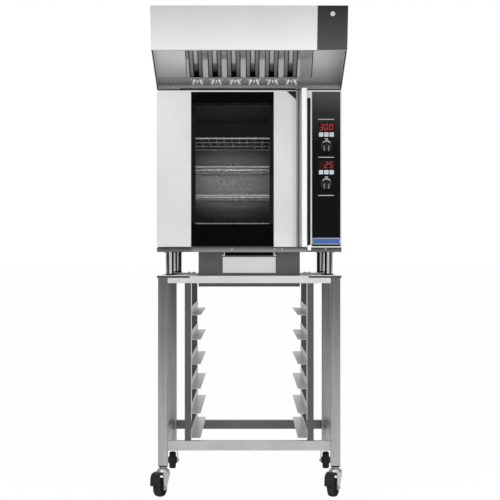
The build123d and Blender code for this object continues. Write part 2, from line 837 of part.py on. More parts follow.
def control_key(x, z):
    """A square key cap with a stem that reaches to its switch."""
    face_y = fascia_y0 - key_proud
    stem_end_y = board_y - switch_h - key_travel - soft_gap
    with BuildPart() as key:
        with BuildSketch(Plane((x, face_y, z), x_dir=(1, 0, 0), z_dir=(0, 1, 0))):
            RectangleRounded(key_size, key_size, key_corner_r)
        extrude(amount=key_h)
        chamfer(key.faces().sort_by(Axis.Y)[0].edges(), key_edge)
        with BuildSketch(Plane((x, face_y + key_h, z), x_dir=(1, 0, 0), z_dir=(0, 1, 0))):
            Circle(standoff_r)
        extrude(amount=stem_end_y - face_y - key_h)
    return key


for row_name, z in key_rows:
    for column_name, column in key_columns:
        key = control_key(control_x + column * key_pitch, z)
        finish(key, f"key_{row_name}_{column_name}")


def control_knob(z):
    """A round knob: a skirt, a crown scooped to an upright grip, a mark and a shaft."""
    back_y = fascia_y0 - knob_gap
    face_y = back_y - knob_h
    shaft_end_y = board_y - soft_gap
    knob_plane = Plane((control_x, 0, z), x_dir=(1, 0, 0), z_dir=(0, 0, 1))
    scoop_r = knob_h - knob_skirt_h
    with BuildPart() as knob:
        with BuildSketch(knob_plane):
            with BuildLine():
                edge = (knob_r - knob_crown_r, face_y)
                shoulder = (knob_r, face_y + knob_crown_r)
                Line((0, shaft_end_y), (0, face_y))
                Line((0, face_y), edge)
                TangentArc(edge, shoulder, tangent=(1, 0))
                Polyline(shoulder, (knob_r, back_y), (knob_shaft_r, back_y),
                         (knob_shaft_r, shaft_end_y), (0, shaft_end_y))
            make_face()
        revolve(axis=Axis((control_x, 0, z), (0, 1, 0)))
        with BuildSketch(knob_plane.offset(-knob_r)):
            with Locations((-knob_grip_w / 2 - scoop_r, face_y), (knob_grip_w / 2 + scoop_r, face_y)):
                Circle(scoop_r)
        extrude(amount=2 * knob_r, mode=Mode.SUBTRACT)
        block(control_x - knob_mark_w / 2, control_x + knob_mark_w / 2, face_y, face_y + knob_mark_w / 2,
              z + knob_r - knob_mark_l, z + knob_r, mode=Mode.SUBTRACT)
    return knob


for row_name, z in knob_rows:
    knob = control_knob(z)
    finish(knob, f"knob_{row_name}")

# Door: hollow stainless shell with a front and a rear opening
with BuildPart() as door_shell:
    block(door_x0, door_x1, front_y, front_y + door_d, door_z0, door_z1)
    block(door_x0 + sheet, door_x1 - sheet, front_y + sheet, front_y + door_d - sheet,
          door_z0 + sheet, door_z1 - sheet, mode=Mode.SUBTRACT)
    block(glass_x0, glass_x1, front_y, front_y + sheet, door_z0 + glass_border, door_z1 - glass_border,
          mode=Mode.SUBTRACT)
    block(glass_x0 + inner_glass_margin, glass_x1 - inner_glass_margin,
          front_y + door_d - sheet, front_y + door_d,
          door_z0 + inner_glass_rise, door_z1 - inner_glass_rise, mode=Mode.SUBTRACT)
    with BuildSketch(Plane.XY.offset(door_z0)):
        with Locations((hinge_x, hinge_y)):
            Circle(hinge_pin_r + run_gap)
    extrude(amount=door_z1 - door_z0, mode=Mode.SUBTRACT)
    notch_x1 = handle_x0 - handle_scoop_r - notch_gap
    notch_z1 = door_z1 - glass_border / 2
    with BuildSketch(Plane((0, front_y, 0), x_dir=(1, 0, 0), z_dir=(0, -1, 0))):
        with BuildLine():
            Polyline((notch_x1, notch_z1), (notch_x1 - notch_w, notch_z1), (notch_x1, notch_z1 - notch_h),
                     close=True)
        make_face()
    extrude(amount=-sheet, mode=Mode.SUBTRACT)
finish(door_shell, "door_shell")

# Door: the two panes
with BuildPart() as door_outer_glass:
    block(glass_x0 + soft_gap, glass_x1 - soft_gap, front_y + soft_gap, front_y + soft_gap + glass_t,
          door_z0 + glass_border + soft_gap, door_z1 - glass_border - soft_gap)
finish(door_outer_glass, "door_outer_glass")

inner_pane_y1 = front_y + door_d - sheet
inner_pane_lap = inner_glass_margin / 2
with BuildPart() as door_inner_glass:
    block(glass_x0 + inner_pane_lap, glass_x1 - inner_pane_lap, inner_pane_y1 - glass_t, inner_pane_y1,
          door_z0 + inner_glass_rise - inner_pane_lap, door_z1 - inner_glass_rise + inner_pane_lap)
finish(door_inner_glass, "door_inner_glass")

# Door: full-height handle with a scooped inner side, open below
with BuildPart() as door_handle:
    with BuildSketch(Plane.XY.offset(door_z0)):
        nose_y = front_y - handle_proud
        with BuildLine():
            foot = (handle_x0 - handle_scoop_r, front_y)
            scoop_end = (handle_x0, front_y - handle_scoop_r)
            Polyline((handle_x1, nose_y), (handle_x1, front_y), (door_x1 + handle_leg_t, front_y),
                     (door_x1 + handle_leg_t, front_y + handle_leg_d), (door_x1, front_y + handle_leg_d),
                     (door_x1, front_y), foot)
            RadiusArc(foot, scoop_end, handle_scoop_r)
            Polyline(scoop_end, (handle_x0, nose_y), (handle_x1, nose_y))
        make_face()
    extrude(amount=door_z1 - door_z0)
    nose_edges = door_handle.edges().filter_by(Axis.Z).group_by(Axis.Y)[0]
    fillet(nose_edges, handle_nose_r)
    block(handle_x0 + handle_wall, handle_x1 - handle_wall, nose_y + handle_nose_r, front_y - handle_wall,
          door_z0, door_z1 - handle_wall, mode=Mode.SUBTRACT)
finish(door_handle, "door_handle")

# Cavity: side supports, each two uprights with a ledge for every rack
baffle_y = cavity_y1 - baffle_in
rack_levels = [cavity_z0 + rack_first_rise + level * rack_pitch for level in range(rack_count)]
rack_y0 = front_y + rack_front_in
rack_y1 = baffle_y - rack_back_gap
with BuildPart() as rack_supports:
    for wall_x, inward in ((cavity_x0, 1), (cavity_x1, -1)):
        for y in (rack_y0 + upright_in, rack_y1 - upright_in):
            x0, x1 = sorted((wall_x, wall_x + inward * upright_t))
            block(x0, x1, y - upright_w / 2, y + upright_w / 2, cavity_z0, rack_levels[-1] + upright_over)
with BuildPart() as rack_ledges:
    for wall_x, inward in ((cavity_x0, 1), (cavity_x1, -1)):
        back_x = wall_x + inward * upright_t
        for z in rack_levels:
            ledge_z = z - rack_rod_r - soft_gap
            x0, x1 = sorted((back_x, wall_x + inward * ledge_w))
            block(x0, x1, rack_y0, rack_y1, ledge_z - upright_t, ledge_z)
            x0, x1 = sorted((back_x, back_x + inward * upright_t))
            block(x0, x1, rack_y0, rack_y1, ledge_z - ledge_back_h, ledge_z)
rack_supports.part = Compound(children=[*rack_supports.part.solids(), *rack_ledges.part.solids()])
finish(rack_supports, "rack_supports")


def wire_rack(z):
    """A rack of round wire: a bent rim, cross bars, and wires laid on top."""
    rack_x0 = cavity_x0 + rack_side_gap + rack_rod_r
    rack_x1 = cavity_x1 - rack_side_gap - rack_rod_r
    rim_y0 = rack_y0 + rack_rod_r
    rim_y1 = rack_y1 - rack_rod_r
    wire_z = z + rack_rod_r + rack_wire_r - rack_wire_bite
    mid_x = (rack_x0 + rack_x1) / 2
    mid_y = (rim_y0 + rim_y1) / 2
    wire_count = int((rack_x1 - rack_x0 - rack_wire_pitch) / rack_wire_pitch) + 1
    with BuildPart() as rack:
        with BuildLine(Plane.XY.offset(z)) as rim:
            FilletPolyline((rack_x0, rim_y0), (rack_x1, rim_y0), (rack_x1, rim_y1), (rack_x0, rim_y1),
                           radius=rack_corner_r, close=True)
        with BuildSketch(rim.line ^ 0):
            Circle(rack_rod_r)
        sweep()
        with BuildSketch(Plane((rack_x0, 0, 0), x_dir=(0, 1, 0), z_dir=(1, 0, 0))):
            with Locations((mid_y, z)):
                with GridLocations((rim_y1 - rim_y0) / (rack_bars + 1), 1, rack_bars, 1):
                    Circle(rack_bar_r)
        extrude(amount=rack_x1 - rack_x0)
        with BuildSketch(Plane((0, rim_y0, 0), x_dir=(-1, 0, 0), z_dir=(0, 1, 0))):
            with Locations((-mid_x, wire_z)):
                with GridLocations(rack_wire_pitch, 1, wire_count, 1):
                    Circle(rack_wire_r)
        extrude(amount=rim_y1 - rim_y0)
    return rack


for level, z in enumerate(rack_levels):
    rack = wire_rack(z)
    finish(rack, f"wire_rack_{level + 1}")

# Cavity: fan baffle, a pan with side flanges and a round grille
baffle_x0 = cavity_x0 + baffle_side
baffle_x1 = cavity_x1 - baffle_side
baffle_z0 = cavity_z0 + baffle_end
baffle_z1 = cavity_z1 - baffle_end
with BuildPart() as fan_baffle:
    block(baffle_x0, baffle_x1, baffle_y, cavity_y1, baffle_z0, baffle_z1)
    block(baffle_x0 + sheet, baffle_x1 - sheet, baffle_y + sheet, cavity_y1,
          baffle_z0 - sheet, baffle_z1 + sheet, mode=Mode.SUBTRACT)
    with BuildSketch(Plane((cavity_mid_x, baffle_y, fan_z), x_dir=(1, 0, 0), z_dir=(0, 1, 0))):
        Circle(baffle_hole_r)
        for ring in range(1, baffle_rings + 1):
            with PolarLocations(ring * baffle_ring_step, 6 * ring):
                Circle(baffle_hole_r)
    extrude(amount=sheet, mode=Mode.SUBTRACT)
finish(fan_baffle, "fan_baffle")

# Cavity: circulation fan on its shaft
fan_y1 = cavity_y1 - fan_wall_gap
fan_plane = Plane((cavity_mid_x, fan_y1, fan_z), x_dir=(1, 0, 0), z_dir=(0, -1, 0))
with BuildPart() as circulation_fan:
    with BuildSketch(fan_plane):
        Circle(fan_r)
    extrude(amount=fan_disc_t)
    with BuildSketch(fan_plane.offset(fan_disc_t)):
        with PolarLocations(fan_r - fan_blade_l / 2, fan_blades):
            Rectangle(fan_blade_l, fan_disc_t)
        Circle(fan_hub_r)
    extrude(amount=fan_blade_d - fan_disc_t)
    with BuildSketch(fan_plane):
        Circle(fan_shaft_r)
    extrude(amount=-(fan_wall_gap + sheet + fan_motor_d * fan_shaft_share))
finish(circulation_fan, "circulation_fan")

# Behind the cavity: fan motor, seated between the liner and the rear panel
motor_plane = Plane((cavity_mid_x, cavity_y1 + sheet, fan_z), x_dir=(1, 0, 0), z_dir=(0, 1, 0))
motor_l = rear_y - sheet - cavity_y1 - sheet
with BuildPart() as fan_motor:
    with BuildSketch(motor_plane):
        Circle(fan_motor_r)
        with PolarLocations(fan_motor_r + motor_ear_out, 4, 45):
            Circle(motor_ear_r)
        Circle(fan_shaft_r + run_gap, mode=Mode.SUBTRACT)
    extrude(amount=motor_plate_t)
    with BuildSketch(motor_plane.offset(motor_plate_t)):
        Circle(fan_motor_r)
        Circle(fan_shaft_r + run_gap, mode=Mode.SUBTRACT)
    extrude(amount=motor_l - motor_plate_t)
    chamfer(fan_motor.faces().sort_by(Axis.Y)[-1].outer_wire().edges(), motor_edge)
finish(fan_motor, "fan_motor")

# Cavity: round heating element with two terminals into the rear wall
element_y = cavity_y1 - element_in
with BuildPart() as heating_element:
    with BuildSketch(Plane((cavity_mid_x, element_y, fan_z), x_dir=(1, 0, 0), z_dir=(0, 0, -1))):
        with Locations((element_ring_r, 0)):
            Circle(element_tube_r)
    revolve(axis=Axis((cavity_mid_x, element_y, fan_z), (0, 1, 0)))
    with BuildSketch(Plane((cavity_mid_x, element_y, fan_z), x_dir=(1, 0, 0), z_dir=(0, 1, 0))):
        with PolarLocations(element_ring_r, 2, start_angle=element_end_angle, angular_range=element_gap,
                            rotate=False, endpoint=True):
            Circle(element_pin_r)
    extrude(amount=element_in)
finish(heating_element, "heating_element")

# Hood: side walls, top and rear folded as one shell
front_run = hood_reach - hood_front_low_reach
front_rise = hood_front_h
hood_front_low_z = unit_h - hood_front_h
front_len = math.hypot(front_run, front_rise)
front_step_y = hood_sheet * front_len / front_rise
hood_top_y = front_y - hood_reach
hood_front_low_y = front_y - hood_front_low_reach
with BuildPart() as hood_shell:
    with BuildSketch(Plane((-half_w, 0, 0), x_dir=(0, 1, 0), z_dir=(1, 0, 0))):
        with BuildLine():
            Polyline(
                (hood_top_y + front_step_y, unit_h),
                (back_y, unit_h),
                (back_y, oven_top_z),
                (body_front_y, oven_top_z),
                (body_front_y, hood_low_z),
                (front_y, hood_low_z),
                (hood_front_low_y + front_step_y, hood_front_low_z),
                close=True,
            )
        make_face()
    extrude(amount=unit_w)
    block(-half_w + hood_sheet, half_w - hood_sheet, hood_top_y, back_y - hood_sheet,
          oven_top_z - hood_sheet, unit_h - hood_sheet, mode=Mode.SUBTRACT)
    with BuildSketch(Plane((0, back_y, 0), x_dir=(-1, 0, 0), z_dir=(0, 1, 0))):
        with Locations((0, unit_h - hood_vent_drop)):
            with GridLocations(vent_slot_w + vent_gap, vent_slot_h + vent_gap, vent_columns * 2, vent_rows):
                SlotOverall(vent_slot_w, vent_slot_h)
    extrude(amount=-hood_sheet, mode=Mode.SUBTRACT)
finish(hood_shell, "hood_shell")

# Hood: leaning front panel with a folded lower lip
fascia_edge_x = half_w - hood_fascia_w
front_skin = (
    (hood_top_y, unit_h),
    (hood_front_low_y, hood_front_low_z),
    (hood_front_low_y + front_step_y, hood_front_low_z),
    (hood_top_y + front_step_y, unit_h),
)
with BuildPart() as hood_front_panel:
    with BuildSketch(Plane((-half_w, 0, 0), x_dir=(0, 1, 0), z_dir=(1, 0, 0))):
        with BuildLine():
            Polyline(*front_skin, close=True)
        make_face()
    extrude(amount=unit_w - hood_fascia_w)
    lip_half = half_w - hood_sheet - soft_gap
    lip_y0 = hood_front_low_y + front_step_y
    block(-lip_half, lip_half, lip_y0, hood_front_low_y + hood_lip,
          hood_front_low_z, hood_front_low_z + hood_sheet)
    block(-lip_half, fascia_edge_x, lip_y0 - front_step_y / 2, lip_y0,
          hood_front_low_z, hood_front_low_z + hood_sheet)
finish(hood_front_panel, "hood_front_panel")

# Hood: dark controls fascia with the ring round its button
lean = math.atan2(front_run, front_rise)
front_normal = (0, -math.cos(lean), -math.sin(lean))
button_y = hood_top_y + hood_button_drop * front_run / front_rise
button_plane = Plane((half_w - hood_button_in, button_y, unit_h - hood_button_drop),
                     x_dir=(1, 0, 0), z_dir=front_normal)
with BuildPart() as hood_fascia:
    with BuildSketch(Plane((fascia_edge_x, 0, 0), x_dir=(0, 1, 0), z_dir=(1, 0, 0))):
        with BuildLine():
            Polyline(*front_skin, close=True)
        make_face()
    extrude(amount=hood_fascia_w)
    with BuildSketch(button_plane):
        Circle(hood_button_r + hood_button_ring)
    extrude(amount=hood_ring_proud)
    with BuildSketch(button_plane.offset(hood_button_proud)):
        Circle(hood_button_r + soft_gap)
    extrude(amount=-hood_button_h, mode=Mode.SUBTRACT)
finish(hood_fascia, "hood_fascia")

# Hood: push button
with BuildPart() as hood_button:
    with BuildSketch(button_plane.offset(hood_button_proud)):
        Circle(hood_button_r)
    extrude(amount=-hood_button_h)
    chamfer(hood_button.faces().sort_by(Axis.Y)[0].edges(), key_edge)
finish(hood_button, "hood_button")

# Hood: inner liner, one folded sheet with the filter's opening and the gutter
filter_top = (front_y + filter_top_in, unit_h - filter_top_drop)
filter_low = (front_y + filter_low_in, hood_low_z + filter_low_rise)
filter_run = filter_low[0] - filter_top[0]
filter_drop = filter_top[1] - filter_low[1]
filter_len = math.hypot(filter_run, filter_drop)
filter_mid = ((filter_top[0] + filter_low[0]) / 2, (filter_top[1] + filter_low[1]) / 2)
filter_normal = (0, -filter_drop / filter_len, -filter_run / filter_len)
filter_plane = Plane((0, filter_mid[0], filter_mid[1]), x_dir=(1, 0, 0), z_dir=filter_normal)
opening_len = filter_len - 2 * filter_edge
liner_half = half_w - hood_sheet - soft_gap
ceiling_y = hood_top_y + filter_top_drop * front_run / front_rise + 2 * hood_sheet
gutter_z = hood_low_z + hood_sheet / 2
with BuildPart() as hood_liner:
    with BuildSketch(Plane((-liner_half, 0, 0), x_dir=(0, 1, 0), z_dir=(1, 0, 0))):
        with BuildLine() as liner_line:
            Polyline(
                (ceiling_y, filter_top[1]),
                filter_top,
                filter_low,
                (filter_low[0], gutter_z),
                (front_y + hood_sheet / 2, gutter_z),
                (front_y + hood_sheet / 2, hood_low_z + gutter_lip_h),
            )
        trace(liner_line.edges(), line_width=hood_sheet)
    extrude(amount=2 * liner_half)
    with BuildSketch(filter_plane.offset(filter_t)):
        Rectangle(filter_w + 2 * soft_gap, opening_len + 2 * soft_gap)
    extrude(amount=-2 * filter_t, mode=Mode.SUBTRACT)
    hood_pad_x = half_w - hood_pad_in
    for x in (-hood_pad_x, hood_pad_x):
        block(x - hood_pad_w / 2, x + hood_pad_w / 2, filter_low[0] - hood_pad_w, filter_low[0],
              oven_top_z, hood_low_z)
finish(hood_liner, "hood_liner")

# Hood: grease filter, a flat slotted front with a curved channel behind each slot
slot_len = opening_len - 2 * filter_frame_w
slot_w = filter_pitch - filter_bar_w
slot_x0 = -filter_w / 2 + filter_frame_w + slot_w / 2
slot_xs = [slot_x0 + slot * filter_pitch for slot in range(filter_slots)]
with BuildPart() as grease_filter:
    with BuildSketch(filter_plane.offset(hood_sheet / 2)):
        Rectangle(filter_w, opening_len)
        with Locations(*[(x, 0) for x in slot_xs]):
            Rectangle(slot_w, slot_len, mode=Mode.SUBTRACT)
    extrude(amount=-filter_sheet)
    with BuildSketch(filter_plane.offset(hood_sheet / 2)):
        Rectangle(filter_w, opening_len)
        Rectangle(filter_w - 2 * filter_sheet, opening_len - 2 * filter_sheet, mode=Mode.SUBTRACT)
    extrude(amount=-filter_t)
    channel_plane = Plane(filter_plane.from_local_coords((0, -opening_len / 2 + filter_sheet / 2, 0)),
                          x_dir=(1, 0, 0), z_dir=filter_plane.y_dir)
    up = 1 if channel_plane.y_dir.dot(filter_plane.z_dir) > 0 else -1
    rim_v = -up * channel_rise
    deep_v = -up * (filter_t - hood_sheet / 2 - channel_back)
    half_channel = filter_channel_w / 2
    for x in slot_xs:
        with BuildSketch(channel_plane):
            with BuildLine():
                ThreePointArc((x - half_channel, rim_v), (x, deep_v), (x + half_channel, rim_v))
                Line((x + half_channel, rim_v), (x + half_channel - filter_sheet, rim_v))
                ThreePointArc((x + half_channel - filter_sheet, rim_v), (x, deep_v + up * filter_sheet),
                              (x - half_channel + filter_sheet, rim_v))
                Line((x - half_channel + filter_sheet, rim_v), (x - half_channel, rim_v))
            make_face()
        extrude(amount=opening_len - filter_sheet)
finish(grease_filter, "grease_filter")

# Hood: blower motor under the top sheet and its wheel below
blower_y = front_y + blower_in
motor_low_z = unit_h - hood_sheet - blower_motor_h
with BuildPart() as blower_motor:
    with BuildSketch(Plane.XY.offset(motor_low_z)):
        with Locations((0, blower_y)):
            Circle(blower_motor_r)
            Circle(fan_shaft_r + run_gap, mode=Mode.SUBTRACT)
    extrude(amount=blower_motor_h)
    chamfer(blower_motor.faces().sort_by(Axis.Z)[0].outer_wire().edges(), motor_edge)
finish(blower_motor, "blower_motor")

with BuildPart() as blower_wheel:
    wheel_top_z = motor_low_z - blower_gap
    with BuildSketch(Plane.XY.offset(wheel_top_z - fan_disc_t)):
        with Locations((0, blower_y)):
            Circle(blower_r)
    extrude(amount=fan_disc_t)
    with BuildSketch(Plane.XY.offset(wheel_top_z - blower_h)):
        with Locations((0, blower_y)):
            with PolarLocations(blower_r - fan_blade_l / 2 - fan_disc_t, blower_blades):
                with Locations(Rotation(0, 0, blower_blade_angle)):
                    Rectangle(fan_blade_l, fan_disc_t)
            Circle(fan_hub_r)
    extrude(amount=blower_h - fan_disc_t)
    with BuildSketch(Plane.XY.offset(wheel_top_z)):
        with Locations((0, blower_y)):
            Circle(fan_shaft_r)
    extrude(amount=blower_gap + blower_motor_h * fan_shaft_share)
finish(blower_wheel, "blower_wheel")

# Drip unit: housing hung under the oven, with the drawer's runners
drip_y0 = front_y + drip_front_in
drip_y1 = drip_y0 + drip_d
half_drip = drip_w / 2
drip_low_z = oven_low_z - drip_h
drawer_low_z = drip_low_z + drawer_rise
drawer_top_z = drawer_low_z + drawer_h
finger_slot_z = drawer_top_z + finger_slot_rise
with BuildPart() as drip_housing:
    block(-half_drip, half_drip, drip_y0, drip_y1, drip_low_z, oven_low_z)
    block(-half_drip + drip_sheet, half_drip - drip_sheet, drip_y0 + drip_sheet, drip_y1 - drip_sheet,
          drip_low_z + drip_sheet, oven_low_z - drip_sheet, mode=Mode.SUBTRACT)
    for x in (-drip_runner_x, drip_runner_x):
        block(x - drip_runner_w / 2, x + drip_runner_w / 2, drip_y0, drip_y1 - drip_sheet,
              drip_low_z, drawer_low_z - slide_gap)
    half_opening = drawer_w / 2 + slide_gap
    block(-half_opening, half_opening, drip_y0 - drip_sheet, drip_y0 + drip_sheet,
          drawer_low_z - slide_gap, drawer_top_z + slide_gap, mode=Mode.SUBTRACT)
    block(-finger_slot_w / 2, finger_slot_w / 2, drip_y0 - drip_sheet, drip_y0 + drip_sheet,
          finger_slot_z, finger_slot_z + finger_slot_h, mode=Mode.SUBTRACT)
finish(drip_housing, "drip_housing")

# Drip unit: drawer
with BuildPart() as drip_drawer:
    block(-drawer_w / 2, drawer_w / 2, drip_y0 - slide_gap, drip_y0 + drawer_d, drawer_low_z, drawer_top_z)
    block(-drawer_w / 2 + drawer_wall, drawer_w / 2 - drawer_wall,
          drip_y0 + drawer_wall, drip_y0 + drawer_d - drawer_wall,
          drawer_low_z + drawer_wall, drawer_top_z, mode=Mode.SUBTRACT)
    block(-drawer_front_w / 2, drawer_front_w / 2, drip_y0 - slide_gap - drawer_front_t, drip_y0 - slide_gap,
          drawer_low_z, drawer_low_z + drawer_front_h)
finish(drip_drawer, "drip_drawer")
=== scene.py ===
"""Finishes, trims and fasteners for a convection oven with its hood and wheeled stand.

Every size is in metres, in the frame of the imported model. Places come from the boxes of the model's own
nodes, so each trim stays where the piece that carries it is.
"""

import json
import math

import bmesh
import bpy
from mathutils import Matrix, Vector


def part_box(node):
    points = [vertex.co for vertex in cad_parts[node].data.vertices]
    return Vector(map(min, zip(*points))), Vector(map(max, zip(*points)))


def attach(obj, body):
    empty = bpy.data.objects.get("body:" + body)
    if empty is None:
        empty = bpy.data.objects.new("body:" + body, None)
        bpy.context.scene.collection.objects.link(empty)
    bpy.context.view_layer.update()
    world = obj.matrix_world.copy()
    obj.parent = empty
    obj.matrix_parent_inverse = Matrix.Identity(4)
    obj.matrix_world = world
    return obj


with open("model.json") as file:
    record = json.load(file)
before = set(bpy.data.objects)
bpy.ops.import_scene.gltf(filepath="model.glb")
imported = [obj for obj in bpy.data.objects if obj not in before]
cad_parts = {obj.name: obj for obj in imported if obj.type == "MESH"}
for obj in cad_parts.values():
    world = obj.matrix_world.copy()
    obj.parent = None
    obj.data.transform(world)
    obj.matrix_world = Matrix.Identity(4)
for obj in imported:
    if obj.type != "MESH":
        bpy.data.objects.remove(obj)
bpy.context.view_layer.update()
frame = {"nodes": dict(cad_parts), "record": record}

bl_info = {
    "name": "Convection Oven Dresser",
    "version": (1, 0, 0),
    "blender": (4, 5, 0),
    "location": "3D View > Sidebar > Oven",
    "description": "Gives a packed convection oven its finishes, display, trims and fasteners",
    "category": "Object",
}

MM = 0.001
DOOR_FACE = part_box("door_shell")[0].y
NODE_SLOTS = {part["node"]: part["material_slot"] for part in frame["record"]["subparts"]}


def colour(tone):
    """The linear colour that shaders use, from one 0 to 255 value or from three; a wire stays as it is."""
    def linear(value):
        share = value / 255.0
        return share / 12.92 if share <= 0.04045 else ((share + 0.055) / 1.055) ** 2.4

    if isinstance(tone, Wire):
        return tone
    red, green, blue = tone if isinstance(tone, tuple) else (tone, tone, tone)
    return (linear(red), linear(green), linear(blue), 1.0)


class Wire:
    """A node's output that takes part in Python arithmetic by adding Math nodes to its tree."""

    def __init__(self, graph, socket):
        self.graph = graph
        self.socket = socket

    def maths(self, operation, *others, clamp=False):
        """One Math node on this wire and then the others."""
        settings = {"operation": operation, "use_clamp": clamp}
        return self.graph.add("ShaderNodeMath", settings, dict(enumerate((self, *others))))

    def __add__(self, other):
        return self.maths("ADD", other)

    def __sub__(self, other):
        return self.maths("SUBTRACT", other)

    def __rsub__(self, other):
        return self.maths("MULTIPLY_ADD", -1.0, other)

    def __mul__(self, other):
        return self.maths("MULTIPLY", other)

    def __truediv__(self, other):
        return self.maths("DIVIDE", other)

    def __abs__(self):
        return self.maths("ABSOLUTE")

    __radd__ = __add__
    __rmul__ = __mul__

    def clamped(self):
        """The value, held between 0 and 1."""
        return self.maths("ADD", 0.0, clamp=True)

    def ramp_up(self, start, end):
        """0 below start, 1 above end and a straight line between."""
        return ((self - start) / (end - start)).clamped()

    def between(self, start, end, soft):
        """1 between start and end, with a rise of soft length after start and a fall of it after end."""
        return self.ramp_up(start, start + soft) * (1.0 - self.ramp_up(end, end + soft))


class Graph:
    """A node tree that is built by one method."""

    def __init__(self, tree):
        self.tree = tree

    def add(self, kind, settings=None, inputs=None, output=0):
        """Adds a node, sets its settings and then its inputs, and returns one of its outputs."""
        node = self.tree.nodes.new(kind)
        for key, value in (settings or {}).items():
            if key == "stops":
                self.set_stops(node.color_ramp, value)
            else:
                setattr(node, key, value)
        for key, value in (inputs or {}).items():
            self.feed(node.inputs[key], value)
        return Wire(self, node.outputs[output])

    def feed(self, socket, value):
        """Links a wire to the socket, or writes a plain value on it."""
        if isinstance(value, Wire):
            self.tree.links.new(value.socket, socket)
        else:
            socket.default_value = value

    @staticmethod
    def set_stops(ramp, stops):
        """Gives a colour ramp these (place, tone) stops."""
        while len(ramp.elements) < len(stops):
            ramp.elements.new(1.0)
        for element, (place, tone) in zip(ramp.elements, stops):
            element.position = place
            element.color = colour(tone)


class Pattern(Graph):
    """A geometry tree with named inputs that ends in plain, painted geometry."""

    def __init__(self, name, inputs):
        super().__init__(bpy.data.node_groups.new(name, "GeometryNodeTree"))
        sockets = self.tree.interface
        sockets.new_socket("Geometry", in_out="OUTPUT", socket_type="NodeSocketGeometry")
        sockets.new_socket("Geometry", in_out="INPUT", socket_type="NodeSocketGeometry")
        for label, kind in (*inputs, ("Finish", "NodeSocketMaterial")):
            sockets.new_socket(label, in_out="INPUT", socket_type=kind)
        entry = self.tree.nodes.new("NodeGroupInput")
        self.given = {socket.name: Wire(self, socket) for socket in entry.outputs if socket.name}

    def close(self, geometry):
        """Ends the tree with real geometry in the given finish."""
        plain = self.add("GeometryNodeRealizeInstances", None, {0: geometry})
        painted = self.add("GeometryNodeSetMaterial", None, {
            "Geometry": plain, "Material": self.given["Finish"]})
        self.feed(self.tree.nodes.new("NodeGroupOutput").inputs[0], painted)

    def bake(self, piece, values):
        """Runs the tree on the piece with these values by input name, and keeps the result as its mesh."""
        modifier = piece.modifiers.new(self.tree.name, "NODES")
        modifier.node_group = self.tree
        for item in self.tree.interface.items_tree:
            if item.in_out == "INPUT" and item.name in values:
                modifier[item.identifier] = values[item.name]
        evaluated = piece.evaluated_get(bpy.context.evaluated_depsgraph_get())
        mesh = bpy.data.meshes.new_from_object(evaluated)
        piece.modifiers.clear()
        piece.data = mesh
        return piece


class Spread(Pattern):
    """Puts a shape on every point of a piece, turned to the point's own direction and spun at random."""

    def __init__(self):
        super().__init__("spread", (("Shape", "NodeSocketObject"), ("Size", "NodeSocketFloat"),
                                    ("Spin", "NodeSocketFloat"), ("Seed", "NodeSocketInt")))
        facing = self.add("GeometryNodeInputNamedAttribute", {"data_type": "FLOAT_VECTOR"},
                          {"Name": "facing"}, "Attribute")
        turned = self.add("FunctionNodeAlignRotationToVector", {"axis": "Z"}, {"Vector": facing})
        given = self.given
        shape = self.add("GeometryNodeObjectInfo", None, {"Object": given["Shape"]}, "Geometry")
        points = self.add("GeometryNodeInstanceOnPoints", None, {
            "Points": given["Geometry"], "Instance": shape, "Rotation": turned, "Scale": given["Size"]})
        spin = self.add("FunctionNodeRandomValue", {"data_type": "FLOAT"},
                        {3: given["Spin"], 8: given["Seed"]}, 1)
        about = self.add("ShaderNodeCombineXYZ", None, {"Z": spin})
        self.close(self.add("GeometryNodeRotateInstances", None, {
            "Instances": points, "Rotation": about, "Local Space": True}))


class Rows(Pattern):
    """Repeats the piece it is put on in rows and columns about a middle, turned to face one way."""

    def __init__(self):
        super().__init__("rows", (("Columns", "NodeSocketInt"), ("Rows", "NodeSocketInt"),
                                  ("Column pitch", "NodeSocketFloat"), ("Row pitch", "NodeSocketFloat"),
                                  ("Middle", "NodeSocketVector"), ("Turn", "NodeSocketVector")))
        given = self.given
        grid = self.add("GeometryNodeMeshGrid", None, {
            "Size X": (given["Columns"] - 1.0) * given["Column pitch"],
            "Size Y": (given["Rows"] - 1.0) * given["Row pitch"],
            "Vertices X": given["Columns"], "Vertices Y": given["Rows"]}, "Mesh")
        copies = self.add("GeometryNodeInstanceOnPoints", None, {
            "Points": grid, "Instance": given["Geometry"]})
        self.close(self.add("GeometryNodeTransform", None, {
            "Geometry": copies, "Translation": given["Middle"], "Rotation": given["Turn"]}))


